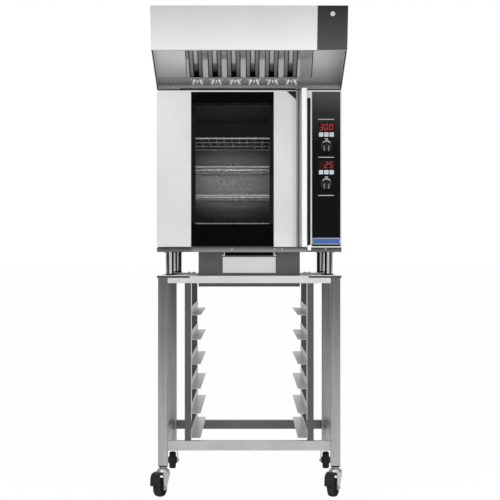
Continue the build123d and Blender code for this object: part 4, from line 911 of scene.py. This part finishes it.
class OVEN_OT_stage(bpy.types.Operator):
    """Adds the pale floor, the soft lights, the cavity's lamp light and the camera"""

    bl_idname = "oven.stage"
    bl_label = "Stage"

    def execute(self, context):
        looks = context.scene.oven_looks
        self.floor()
        self.world(looks.daylight)
        self.lights()
        self.camera(looks)
        context.scene.view_settings.view_transform = "Standard"
        return {"FINISHED"}

    def floor(self):
        """A large pale plane under the casters."""
        half = 60.0
        corners = ((-half, -half), (half, -half), (half, half), (-half, half))
        floor = mesh_piece("floor", lambda shape: shape.faces.new(
            [shape.verts.new((x, y, 0.0)) for x, y in corners]))
        finish = Finish("floor_paint", 250, 0.0, 0.9, specular_ior_level=0.0)
        finish.tint(finish.noise(2.0), 249, 251)
        rays = finish.add("ShaderNodeLightPath", output="Is Camera Ray")
        white = finish.add("ShaderNodeEmission", None, {"Color": colour(255), "Strength": 1.0})
        blend = finish.add("ShaderNodeMixShader", None, {
            0: rays * 0.96, 1: Wire(finish, finish.shader.outputs[0]), 2: white})
        output = finish.tree.nodes["Material Output"]
        finish.feed(output.inputs["Surface"], blend)
        floor.data.materials.append(finish.material)

    def world(self, strength):
        """White behind the object and in its reflections, dimmer as light, and darker at the sides of metal."""
        world = bpy.data.worlds.new("studio")
        world.use_nodes = True
        bpy.context.scene.world = world
        graph = Graph(world.node_tree)
        path = world.node_tree.nodes.new("ShaderNodeLightPath")
        camera_ray = Wire(graph, path.outputs["Is Camera Ray"])
        glossy_ray = Wire(graph, path.outputs["Is Glossy Ray"])
        through_ray = Wire(graph, path.outputs["Is Transmission Ray"])
        direction = graph.add("ShaderNodeTexCoord", output="Generated")
        sideways = abs(graph.add("ShaderNodeSeparateXYZ", None, {0: direction}, "X"))
        dim = sideways.ramp_up(0.35, 0.75) * 0.6
        mirrored = glossy_ray * (0.84 - dim)
        seen = (camera_ray + through_ray + mirrored).clamped()
        lit = (1.0 - (camera_ray + through_ray + glossy_ray).clamped()) * strength
        background = world.node_tree.nodes["Background"]
        background.inputs["Color"].default_value = colour(255)
        graph.feed(background.inputs["Strength"], seen + lit)

    def lights(self):
        """Soft boxes at the left, at the right and low in front, and the lamp inside the cavity."""
        self.soft_box("key_light", (-1.6, -3.2, 3.0), (0.0, 0.0, 1.0), (2.0, 2.0), 20.0)
        self.soft_box("fill_light", (2.6, -2.6, 1.6), (0.0, 0.0, 0.9), (1.6, 2.4), 9.0)
        low_light = self.soft_box("low_light", (0.5, -2.6, 0.95), (0.0, -0.2, 1.7), (1.6, 0.6), 40.0)
        low_light.visible_glossy = False
        low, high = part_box("cavity_liner")
        middle = (low + high) / 2
        lamp_at = (middle.x - 0.07, low.y + 0.14, middle.z - 0.045)
        lamp_aim = (middle.x - 0.06, high.y, middle.z - 0.01)
        lamp = self.soft_box("cavity_light", lamp_at, lamp_aim, (0.30, 0.03), 0.95)
        lamp.visible_glossy = False

    @staticmethod
    def soft_box(name, place, target, size, power):
        """An area light of this size in metres and power in watts that the camera doesn't see."""
        light = bpy.data.lights.new(name, "AREA")
        light.shape = "RECTANGLE"
        light.size, light.size_y = size
        light.energy = power
        lamp = bpy.data.objects.new(name, light)
        lamp.location = place
        lamp.rotation_euler = (Vector(target) - Vector(place)).to_track_quat("-Z", "Y").to_euler()
        lamp.visible_camera = False
        bpy.context.scene.collection.objects.link(lamp)
        return lamp

    @staticmethod
    def camera(looks):
        """A level camera in front of the door."""
        data = bpy.data.cameras.new("camera")
        data.lens = looks.camera_lens
        data.sensor_width = 36.0
        data.shift_x = looks.camera_shift
        data.clip_start, data.clip_end = 0.1, 200.0
        camera = bpy.data.objects.new("camera", data)
        camera.location = (0.0, DOOR_FACE - looks.camera_distance, looks.camera_height)
        camera.rotation_euler = (math.radians(90), 0.0, 0.0)
        bpy.context.scene.collection.objects.link(camera)
        bpy.context.scene.camera = camera


def screw_head(radius, height):
    """A pan head with a cross recess, standing on the XY plane."""
    profile = ((0.0, height), (0.22 * radius, height), (0.5 * radius, 0.98 * height),
               (0.8 * radius, 0.84 * height), (radius, 0.4 * height), (radius, 0.0), (0.0, 0.0))

    def sunk(ring, step):
        in_arm = step % 6 in (0, 1, 5)
        return 0.5 * height if ring < 2 or (ring == 2 and in_arm) else 0.0

    return mesh_piece("screw_head", lambda shape: add_lathe(shape, profile, 24, sunk))


def rivet_head(radius, height):
    """A low dome, standing on the XY plane."""
    profile = ((0.0, height), (0.5 * radius, 0.87 * height), (0.87 * radius, 0.5 * height), (radius, 0.0),
               (0.0, 0.0))
    return mesh_piece("rivet_head", lambda shape: add_lathe(shape, profile, 16))


def hex_head(radius, height):
    """A six-sided bolt head with a chamfered top."""
    profile = ((0.0, height), (0.82 * radius, height), (radius, 0.8 * height), (radius, 0.0), (0.0, 0.0))
    return mesh_piece("hex_head", lambda shape: add_lathe(shape, profile, 6))


def spread(name, head, spots, maker, body, slot, spin=0.0, seed=3):
    """Fasteners on one body: a copy of head at each (place, facing) spot, as one plain mesh."""
    mesh = bpy.data.meshes.new(name)
    mesh.from_pydata([place for place, _ in spots], [], [])
    facing = mesh.attributes.new("facing", "FLOAT_VECTOR", "POINT")
    facing.data.foreach_set("vector", [value for _, direction in spots for value in direction])
    piece = bpy.data.objects.new(name, mesh)
    bpy.context.scene.collection.objects.link(piece)
    finish = finish_of(maker)
    tree("spread").bake(piece, {"Shape": head, "Size": 1.0, "Spin": spin, "Seed": seed, "Finish": finish})
    bpy.data.objects.remove(head)
    return dress(piece, maker, body)


def grid_spots(xs, ys, zs, facing):
    """Spots for spread at every x, y and z, all facing one way."""
    return [((x, y, z), facing) for x in xs for y in ys for z in zs]


def side_spots(left, right, places):
    """Spots for spread at these (y, z) places on the left and on the right side, facing outward."""
    return [((x, y, z), (side, 0, 0)) for side, x in ((-1, left), (1, right)) for y, z in places]


def in_rows(piece, columns, rows, column_pitch, row_pitch, middle, turn, maker):
    """Repeats a piece of the oven's frame in rows and columns as one plain mesh."""
    tree("rows").bake(piece, {
        "Columns": columns, "Rows": rows, "Column pitch": column_pitch, "Row pitch": row_pitch,
        "Middle": middle, "Turn": turn, "Finish": finish_of(maker)})
    return dress(piece, maker, "oven_frame")


made_trees = {}


def tree(kind):
    """The named geometry tree, built once."""
    if kind not in made_trees:
        made_trees[kind] = {"spread": Spread, "rows": Rows}[kind]()
    return made_trees[kind]


class OVEN_OT_fasteners(bpy.types.Operator):
    """Adds the screws, rivets and bolts of the sheets, runners, plates, baffle, hood and door"""

    bl_idname = "oven.fasteners"
    bl_label = "Fasteners"

    def execute(self, context):
        looks = context.scene.oven_looks
        radius, height = looks.screw_radius, looks.screw_height
        steel = ("screw_steel", "oven_frame", "zinc")
        sheet_screw = (radius, height)
        for name, size, spots in (("pan_screws", sheet_screw, self.pan_spots()),
                                  ("rear_screws", sheet_screw, self.rear_spots()),
                                  ("casing_screws", sheet_screw, self.casing_spots()),
                                  ("runner_screws", (radius, 0.8 * height), self.runner_spots())):
            spread(name, screw_head(*size), spots, *steel, math.pi)
        spread("plate_bolts", hex_head(1.5 * radius, 1.6 * height), self.plate_spots(), *steel, 0.6)
        spread("baffle_screws", screw_head(1.2 * radius, height), self.baffle_spots(), *steel, math.pi)
        spread("hood_rivets", rivet_head(0.7 * radius, 0.5 * height), self.hood_spots(), *steel)
        spread("door_screws", screw_head(0.9 * radius, 0.6 * height), self.door_spots(), "screw_steel", "door",
               "zinc", math.pi)
        return {"FINISHED"}

    @staticmethod
    def pan_spots():
        """Along the pan's front edge, as in the photo, and along its sides."""
        low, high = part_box("base_pan")
        xs, ys, z = (-0.0685, 0.1027, 0.1305, 0.304), (-0.12, 0.15, 0.42), low.z + 12 * MM
        return grid_spots(xs, (low.y,), (z,), (0, -1, 0)) + side_spots(low.x, high.x, [(y, z) for y in ys])

    @staticmethod
    def rear_spots():
        """Round the edge of the rear panel."""
        low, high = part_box("rear_panel")
        inset, facing = 12 * MM, (0, 1, 0)
        heights = (low.z + 0.03, low.z + 0.2, low.z + 0.4, high.z - 0.03)
        upright = grid_spots((low.x + inset, high.x - inset), (high.y,), heights, facing)
        return upright + grid_spots((-0.2, 0.0, 0.2), (high.y,), (low.z + inset, high.z - inset), facing)

    @staticmethod
    def casing_spots():
        """Low along the casing's sides and up their rear edges."""
        low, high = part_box("oven_casing")
        foot, rear = low.z + 0.02, high.y - 0.03
        places = ((low.y + 0.03, foot), (low.y + 0.36, foot), (rear, foot), (rear, low.z + 0.3),
                  (rear, high.z - 0.03))
        return side_spots(low.x, high.x, places)

    @staticmethod
    def runner_spots():
        """Where each tray runner crosses a post. A level is a runner's top if its folded foot lies below it."""
        posts_low, posts_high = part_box("runner_posts")
        _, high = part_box("tray_runners")
        half_post, sheet, runner_height, screw_drop = 25 * MM / 2, 1.5 * MM, 33 * MM, 15 * MM
        levels = sorted({round(v.co.z, 4) for v in frame["nodes"]["tray_runners"].data.vertices})
        tops = [z for z in levels
                if any(abs(z - runner_height + sheet - other) < 0.1 * MM for other in levels)]
        inner = high.x - sheet
        return [((side * inner, y, z - screw_drop), (-side, 0, 0)) for side in (-1, 1)
                for y in (posts_low.y + half_post, posts_high.y - half_post) for z in tops]

    @staticmethod
    def plate_spots():
        """Two on top of each corner plate."""
        low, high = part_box("stand_corner_plates")
        return [((side * (high.x - inset), y, high.z), (0, 0, 1)) for side in (-1, 1) for inset in (0.1, 0.12)
                for y in (low.y + 0.03, high.y - 0.03)]

    @staticmethod
    def baffle_spots():
        """The four corners of the fan's baffle."""
        low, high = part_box("fan_baffle")
        inset = 0.02
        xs, zs = (low.x + inset, high.x - inset), (low.z + inset, high.z - inset)
        return grid_spots(xs, (low.y,), zs, (0, -1, 0))

    @staticmethod
    def hood_spots():
        """Two on the hood's lip over the door, and three low on each side."""
        lip_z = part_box("hood_liner")[0].z + 12 * MM
        low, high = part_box("hood_shell")
        front = grid_spots((-0.3, 0.305), (DOOR_FACE,), (lip_z,), (0, -1, 0))
        return front + side_spots(low.x, high.x, [(y, low.z + 16 * MM) for y in (0.0, 0.25, 0.5)])

    @staticmethod
    def door_spots():
        """Round the edge of the door's inside."""
        low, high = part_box("door_shell")
        facing, inset = (0, 1, 0), 9 * MM
        heights = (low.z + 0.12, low.z + 0.31, high.z - 0.12)
        left = grid_spots((low.x + 14 * MM,), (high.y,), heights, facing)
        return left + grid_spots((-0.28, -0.08, 0.13), (high.y,), (low.z + inset, high.z - inset), facing)


class OVEN_OT_filter_parts(bpy.types.Operator):
    """Adds the strips and bright clips of the grease filter, and the rail that carries its lower end"""

    bl_idname = "oven.filter_parts"
    bl_label = "Filter parts"

    def execute(self, context):
        looks = context.scene.oven_looks
        low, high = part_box("grease_filter")
        length = math.hypot(high.y - low.y, high.z - low.z)
        middle_x = self.slot_middle(looks, low)
        turn = (math.pi - looks.filter_slope, 0.0, 0.0)
        self.strips(looks, middle_x, low, high, length, turn)
        self.rail(looks)
        self.clips(looks, middle_x)
        self.shade_strip()
        return {"FINISHED"}

    @staticmethod
    def shade_strip():
        """A black strip under the gutter's lip that stands in as painted shade, filling the gap between the
        hood and the oven.
        """
        low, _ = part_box("hood_liner")
        oven_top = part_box("door_shell")[1].z
        bottom, step, top, depth = oven_top + 1.2 * MM, low.z + 4 * MM, low.z + 7.5 * MM, 1.4 * MM
        left, width, rear, front = -0.275, 0.457, DOOR_FACE + 27.5 * MM, DOOR_FACE - depth
        outline = [(front, bottom), (front, top - 1 * MM), (DOOR_FACE - depth / 2, top), (DOOR_FACE, top),
                   (DOOR_FACE, step), (rear, step), (rear, bottom)]
        prism("hood_seal", outline, facing_right(left), width, black_rubber)

    @staticmethod
    def slot_middle(looks, low):
        """The middle of the six slots: they start one frame width in from the filter's left edge."""
        return low.x + looks.filter_frame + looks.slot_width / 2 + 2.5 * looks.slot_pitch

    def strips(self, looks, middle_x, low, high, length, turn):
        """A raised strip down the middle of each channel."""
        half, rise, sheet, tall = 8.5 * MM, 4 * MM, 1 * MM, 0.64 * length
        outline = [(-half, 0.0), (-0.7 * half, rise), (0.7 * half, rise), (half, 0.0), (0.6 * half, 0.0),
                   (0.45 * half, rise - sheet), (-0.45 * half, rise - sheet), (-0.6 * half, 0.0)]
        frame_at = facing_front(0.0, tall / 2, 0.0)
        strip = mesh_piece("filter_strips", lambda shape: add_prism(shape, outline, frame_at, tall))
        normal = Vector((0.0, -math.sin(turn[0]), math.cos(turn[0])))
        along = Vector((0.0, math.cos(turn[0]), math.sin(turn[0])))
        centre = (low + high) / 2
        middle = Vector((middle_x, centre.y, centre.z)) + along * (0.13 * length) - normal * 1 * MM
        in_rows(strip, 6, 1, looks.slot_pitch, 0.1, middle, turn, strip_steel)

    @staticmethod
    def rail(looks):
        """A folded sheet between the sides of the hood, in front of the filter's lower end."""
        low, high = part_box("hood_liner")
        y, top, bottom = looks.rail_y, looks.rail_top, low.z + 3 * MM
        sheet, hem, side_gap, rivet_drop = 1.5 * MM, 3 * MM, 0.5 * MM, 20 * MM
        outline = [(y, bottom), (y, top - hem), (y - sheet / 2, top - hem), (y - sheet / 2, top - sheet / 2),
                   (y, top), (y + sheet, top), (y + sheet, bottom)]
        width = high.x - low.x - 2 * side_gap
        frame_at = facing_right(low.x + side_gap)
        prism("filter_rail", outline, frame_at, width, "rail_dark_steel")
        heads = grid_spots((-0.296, -0.27, 0.212, 0.3), (y,), (top - rivet_drop,), (0, -1, 0))
        spread("rail_rivets", rivet_head(2.6 * MM, 1.2 * MM), heads, "screw_steel", "oven_frame", "zinc")

    @staticmethod
    def clips(looks, middle_x):
        """A polished catch under each slot: two splayed arms and an eye between them."""
        def arm(shape, start, end, width, depth):
            """A bar with round ends between two (x, y) points in mm, of a width and depth in mm."""
            start, end, width = Vector(start) * MM, Vector(end) * MM, width * MM
            run, middle = end - start, (start + end) / 2
            frame_at = Matrix.Translation((*middle, 0.0)) @ Matrix.Rotation(math.atan2(run.y, run.x), 4, "Z")
            add_prism(shape, rounded_outline(run.length + width, width, 0.45 * width), frame_at, depth * MM)

        def build(shape):
            for side in (-1, 1):
                arm(shape, (side * 12, 8), (side * 18.5, -7), 9.2, 5)
                arm(shape, (side * 22, 8.5), (side * 24, 13.5), 3, 2)
                arm(shape, (side * 6.5, -9.5), (side * 14, -7), 2, 2)
            arm(shape, (0, 6.5), (0, 1.5), 6.4, 5)
            eye_drop = 5.5 * MM
            add_ring(shape, 3.6 * MM, 5.6 * MM, 20, Matrix.Translation((0.0, -eye_drop, 0.0)), 3 * MM)

        clip = mesh_piece("filter_clips", build)
        bevel = clip.modifiers.new("soft_edges", "BEVEL")
        bevel.width, bevel.segments = 0.8 * MM, 2
        bevel.limit_method = "ANGLE"
        mesh = bpy.data.meshes.new_from_object(clip.evaluated_get(bpy.context.evaluated_depsgraph_get()))
        clip.modifiers.clear()
        clip.data = mesh
        middle = (middle_x + 5 * MM, looks.rail_y - 0.2 * MM, looks.rail_top - 22 * MM)
        in_rows(clip, 6, 1, looks.slot_pitch, 0.1, middle, (math.radians(90), 0, 0), "polished_steel")


class OVEN_OT_louvres(bpy.types.Operator):
    """Adds a pressed hood over each slot of the rear panel"""

    bl_idname = "oven.louvres"
    bl_label = "Louvres"

    def execute(self, context):
        _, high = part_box("rear_panel")
        looks = context.scene.oven_looks
        length, height, depth = 60 * MM, 9 * MM, 5 * MM

        def build(shape):
            rows, columns = 5, 14
            grid = []
            for row in range(rows + 1):
                share = row / rows
                line = []
                for column in range(columns + 1):
                    across = -1 + 2 * column / columns
                    reach = depth * math.sin(share * math.pi / 2) * (1 - abs(across) ** 5)
                    line.append(shape.verts.new((across * length / 2, height * (0.5 - share) + 1 * MM, reach)))
                grid.append(line)
            for row in range(rows):
                for column in range(columns):
                    shape.faces.new((grid[row][column], grid[row][column + 1],
                                     grid[row + 1][column + 1], grid[row + 1][column]))
            bmesh.ops.recalc_face_normals(shape, faces=shape.faces)
            bmesh.ops.solidify(shape, geom=shape.faces[:], thickness=0.8 * MM)

        louvre = mesh_piece("rear_louvres", build)
        middle = (0.0, high.y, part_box("oven_casing")[1].z - looks.louvre_drop)
        in_rows(louvre, 3, 6, 72 * MM, 20 * MM, middle, (math.radians(90), 0.0, math.pi), "casing_steel")
        return {"FINISHED"}


class OVEN_OT_small_trims(bpy.types.Operator):
    """Adds the drawer's slide ends, the catch block, the glass's lower strip and the hood's edge seals"""

    bl_idname = "oven.small_trims"
    bl_label = "Small trims"

    def execute(self, context):
        self.slide_ends()
        self.catch_block()
        self.glass_strip()
        self.edge_seals()
        return {"FINISHED"}

    @staticmethod
    def catch_block():
        """The bright block under the gap between the door's handle and the controls."""
        low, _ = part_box("control_bezel")
        frame_at = facing_front(low.x + 10.5 * MM, low.y, low.z - 1 * MM)
        width, height, chamfer = 13 * MM, 20 * MM, 1.5 * MM
        outer = rounded_outline(width, height, 2 * MM)
        inner = rounded_outline(width - 2 * chamfer, height - 2 * chamfer, 1.5 * MM)

        def build(shape):
            rings = raised_rings(shape, frame_at, ((outer, -3 * MM), (outer, 2.6 * MM), (inner, 4 * MM)))
            join_rings(shape, rings)
            shape.faces.new(rings[-1])
            shape.faces.new(list(reversed(rings[0])))

        trim("catch_block", build, "polished_steel")

    @staticmethod
    def glass_strip():
        """A black strip that carries the outer pane's lower edge down to the door's own edge."""
        low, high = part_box("door_outer_glass")
        door_low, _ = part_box("door_shell")
        middle = facing_front((low.x + high.x) / 2, DOOR_FACE, (door_low.z + low.z) / 2)
        outline = rounded_outline(high.x - low.x, low.z - door_low.z - 0.6 * MM, 0.5 * MM)
        prism("glass_lower_strip", outline, middle, 0.5 * MM, fascia_black, "door")

    @staticmethod
    def edge_seals():
        """Dark seals along the raked lower edges of the hood's sides."""
        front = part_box("hood_front_panel")
        liner_low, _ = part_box("hood_liner")
        _, shell_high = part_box("hood_shell")
        start = Vector((0.0, front[1].y - 1 * MM, front[0].z + 1 * MM))
        end = Vector((0.0, DOOR_FACE - 1 * MM, liner_low.z + 5 * MM))
        run = end - start
        across = Vector((0.0, -run.z, run.y)).normalized()

        def build(shape):
            for side in (-1, 1):
                outer, inner = side * (shell_high.x - 1.7 * MM), side * (shell_high.x - 5.2 * MM)
                section = ((outer, 0.0), (outer, 3 * MM), (inner, 3 * MM), (inner, 0.0))
                rings = [[shape.verts.new(Vector((x, 0.0, 0.0)) + at + across * lift) for x, lift in section]
                         for at in (start, end)]
                join_rings(shape, rings)
                shape.faces.new(rings[0])
                shape.faces.new(list(reversed(rings[1])))

        trim("hood_edge_seals", build, black_rubber)

    @staticmethod
    def slide_ends():
        """The bright ends of the drawer's slides, on both sides of the finger slot."""
        low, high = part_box("drip_housing")
        half_slot, slot_drop, depth = 99, 15 * MM, 2 * MM
        corner = ((0, 0), (9, 0), (9, 2), (2, 2), (2, 14), (0, 14))

        def build(shape):
            for side in (-1, 1):
                outline = [(side * (half_slot + x) * MM, z * MM) for x, z in corner]
                add_prism(shape, outline[::side], facing_front(0.0, low.y, high.z - slot_drop), depth)

        trim("slide_ends", build, "polished_steel")


class OVEN_OT_control_marks(bpy.types.Operator):
    """Adds the pale rules, knob marks, key symbols and the bare plate of the controls column"""

    bl_idname = "oven.control_marks"
    bl_label = "Control marks"

    def execute(self, context):
        looks = context.scene.oven_looks
        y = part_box("control_fascia")[0].y
        low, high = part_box("display_windows")
        x = (low.x + high.x) / 2
        rule_heights, mark_heights, rule_shift = (1.501, 1.350, 1.198), (1.423, 1.2715), 1.5 * MM
        corner, depth = 0.8 * MM, 0.3 * MM
        rule = rounded_outline(looks.rule_width, looks.rule_height, corner)
        mark = rounded_outline(12.5 * MM, 5 * MM, corner)

        def rules(shape):
            for z in rule_heights:
                add_prism(shape, rule, facing_front(x - rule_shift, y, z), depth)
            for z in mark_heights:
                add_prism(shape, mark, facing_front(x, y, z), depth)

        trim("fascia_rules", rules, "trim_silver")
        self.plate(y)
        for row in ("upper", "lower"):
            for column in ("left", "middle", "right"):
                self.key_mark(row, column)
            self.pointer(row)
        return {"FINISHED"}

    @staticmethod
    def plate(y):
        """A blue plate in a pale rim, left bare."""
        left, right, bottom, top = 252 * MM, 361.5 * MM, 1003.5 * MM, 1029 * MM
        middle = facing_front((left + right) / 2, y, (bottom + top) / 2)
        width, height, rim, rise, depth = right - left, top - bottom, 2.2 * MM, 0.5 * MM, 0.3 * MM
        outer = rounded_outline(width, height, 5 * MM)
        inner = rounded_outline(width - 2 * rim, height - 2 * rim, 3.4 * MM)

        def build(shape):
            rings = raised_rings(shape, middle, ((outer, 0.0), (outer, rise), (inner, rise), (inner, 0.0)))
            join_rings(shape, rings + rings[:1])

        trim("plate_rim", build, "trim_silver")
        prism("plate_face", inner, middle, depth, "plate_blue")

    @staticmethod
    def key_mark(row, column):
        """A plain symbol on a key: a minus, a ring or a plus."""
        low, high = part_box(f"key_{row}_{column}")
        at = facing_front((low.x + high.x) / 2, low.y, (low.z + high.z) / 2)
        bar, stroke, corner, depth = 7.5 * MM, 1.3 * MM, 0.3 * MM, 0.15 * MM
        ring_radius, ring_steps = 3.8 * MM, 24
        reach = (bar - stroke) / 2

        def build(shape):
            if column == "middle":
                add_ring(shape, 0.68 * ring_radius, ring_radius, ring_steps, at, depth)
                return
            add_prism(shape, rounded_outline(bar, stroke, corner), at, depth)
            if column == "right":
                for side in (-1, 1):
                    arm = at @ Matrix.Translation((0.0, side * (stroke + reach) / 2, 0.0))
                    add_prism(shape, rounded_outline(stroke, reach, corner), arm, depth)

        trim(f"{row}_{column}_key_mark", build, "mark_ink", f"{row}_{column}_key")

    @staticmethod
    def pointer(row):
        """The pale pointer line in the groove at the top of a knob's grip, which also serves as the painted
        highlight at the grip's top.
        """
        low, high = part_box(f"knob_{row}")
        at = facing_front((low.x + high.x) / 2, low.y + 1 * MM, high.z - 4.6 * MM)
        line = rounded_outline(1.7 * MM, 8.4 * MM, 0.5 * MM)
        prism(f"{row}_knob_line", line, at, 0.7 * MM, "trim_silver", f"{row}_knob")


class OVEN_OT_display_digits(bpy.types.Operator):
    """Adds the lit seven-segment numbers in front of both display windows"""

    bl_idname = "oven.display_digits"
    bl_label = "Display digits"

    SEGMENTS = {"0": "abcdef", "1": "bc", "2": "abged", "3": "abgcd", "4": "fgbc", "5": "afgcd",
                "6": "afgedc", "7": "abc", "8": "abcdefg", "9": "abcdfg", " ": ""}

    def execute(self, context):
        looks = context.scene.oven_looks
        low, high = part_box("display_windows")
        fascia_low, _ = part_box("control_fascia")
        middle_x = (low.x + high.x) / 2
        window_h = window_height()
        rows = ((looks.upper_reading, high.z - window_h / 2), (looks.lower_reading, low.z + window_h / 2))
        y = min(low.y, fascia_low.y)

        def build(shape):
            for reading, z in rows:
                for place, digit in enumerate(reading):
                    x = middle_x + (place - 1) * looks.digit_pitch
                    self.add_digit(shape, looks, self.SEGMENTS[digit], facing_front(x, y, z))

        trim("display_digits", build, lit_red)
        return {"FINISHED"}

    @staticmethod
    def add_digit(shape, looks, lit, frame_at):
        """One digit from the segments named in lit."""
        s = looks.digit_stroke
        w, h = looks.digit_width - s, looks.digit_height - s
        lean, gap, depth = math.tan(looks.digit_lean), 0.12 * s, 0.3 * MM
        across = {"a": h / 2, "g": 0.0, "d": -h / 2}
        upright = {"f": (-w / 2, 0.0, h / 2), "b": (w / 2, 0.0, h / 2), "e": (-w / 2, -h / 2, 0.0),
                   "c": (w / 2, -h / 2, 0.0)}
        for name in lit:
            if name in across:
                y, x0, x1 = across[name], -w / 2 + gap, w / 2 - gap
                outline = [(x0, y), (x0 + s / 2, y - s / 2), (x1 - s / 2, y - s / 2), (x1, y),
                           (x1 - s / 2, y + s / 2), (x0 + s / 2, y + s / 2)]
            else:
                x, y0, y1 = upright[name]
                y0, y1 = y0 + gap, y1 - gap
                outline = [(x, y0), (x + s / 2, y0 + s / 2), (x + s / 2, y1 - s / 2), (x, y1),
                           (x - s / 2, y1 - s / 2), (x - s / 2, y0 + s / 2)]
            leaned = [(px + py * lean, py) for px, py in outline]
            add_prism(shape, leaned, frame_at, depth)


def window_height():
    """Height of one display window, read off the two-window node's vertices."""
    heights = sorted({round(v.co.z, 4) for v in frame["nodes"]["display_windows"].data.vertices})
    gaps = [(b - a, a) for a, b in zip(heights, heights[1:])]
    return max(gaps)[1] - heights[0]


class OVEN_PT_panel(bpy.types.Panel):
    """Lists the steps that dress the oven"""

    bl_label = "Oven"
    bl_idname = "OVEN_PT_panel"
    bl_space_type = "VIEW_3D"
    bl_region_type = "UI"
    bl_category = "Oven"

    def draw(self, context):
        for step in STEPS:
            self.layout.operator(step.bl_idname)
        for name in OvenLooks.__annotations__:
            self.layout.prop(context.scene.oven_looks, name)


STEPS = (OVEN_OT_stage, OVEN_OT_finishes, OVEN_OT_display_digits, OVEN_OT_control_marks, OVEN_OT_filter_parts,
         OVEN_OT_louvres, OVEN_OT_small_trims, OVEN_OT_fasteners)


def register():
    for kind in (OvenLooks, *STEPS, OVEN_PT_panel):
        bpy.utils.register_class(kind)
    bpy.types.Scene.oven_looks = bpy.props.PointerProperty(type=OvenLooks)


def unregister():
    del bpy.types.Scene.oven_looks
    for kind in reversed((OvenLooks, *STEPS, OVEN_PT_panel)):
        bpy.utils.unregister_class(kind)


def main():
    register()
    for step in STEPS:
        group, name = step.bl_idname.split(".")
        getattr(getattr(bpy.ops, group), name)()


if __name__ == "__main__":
    main()
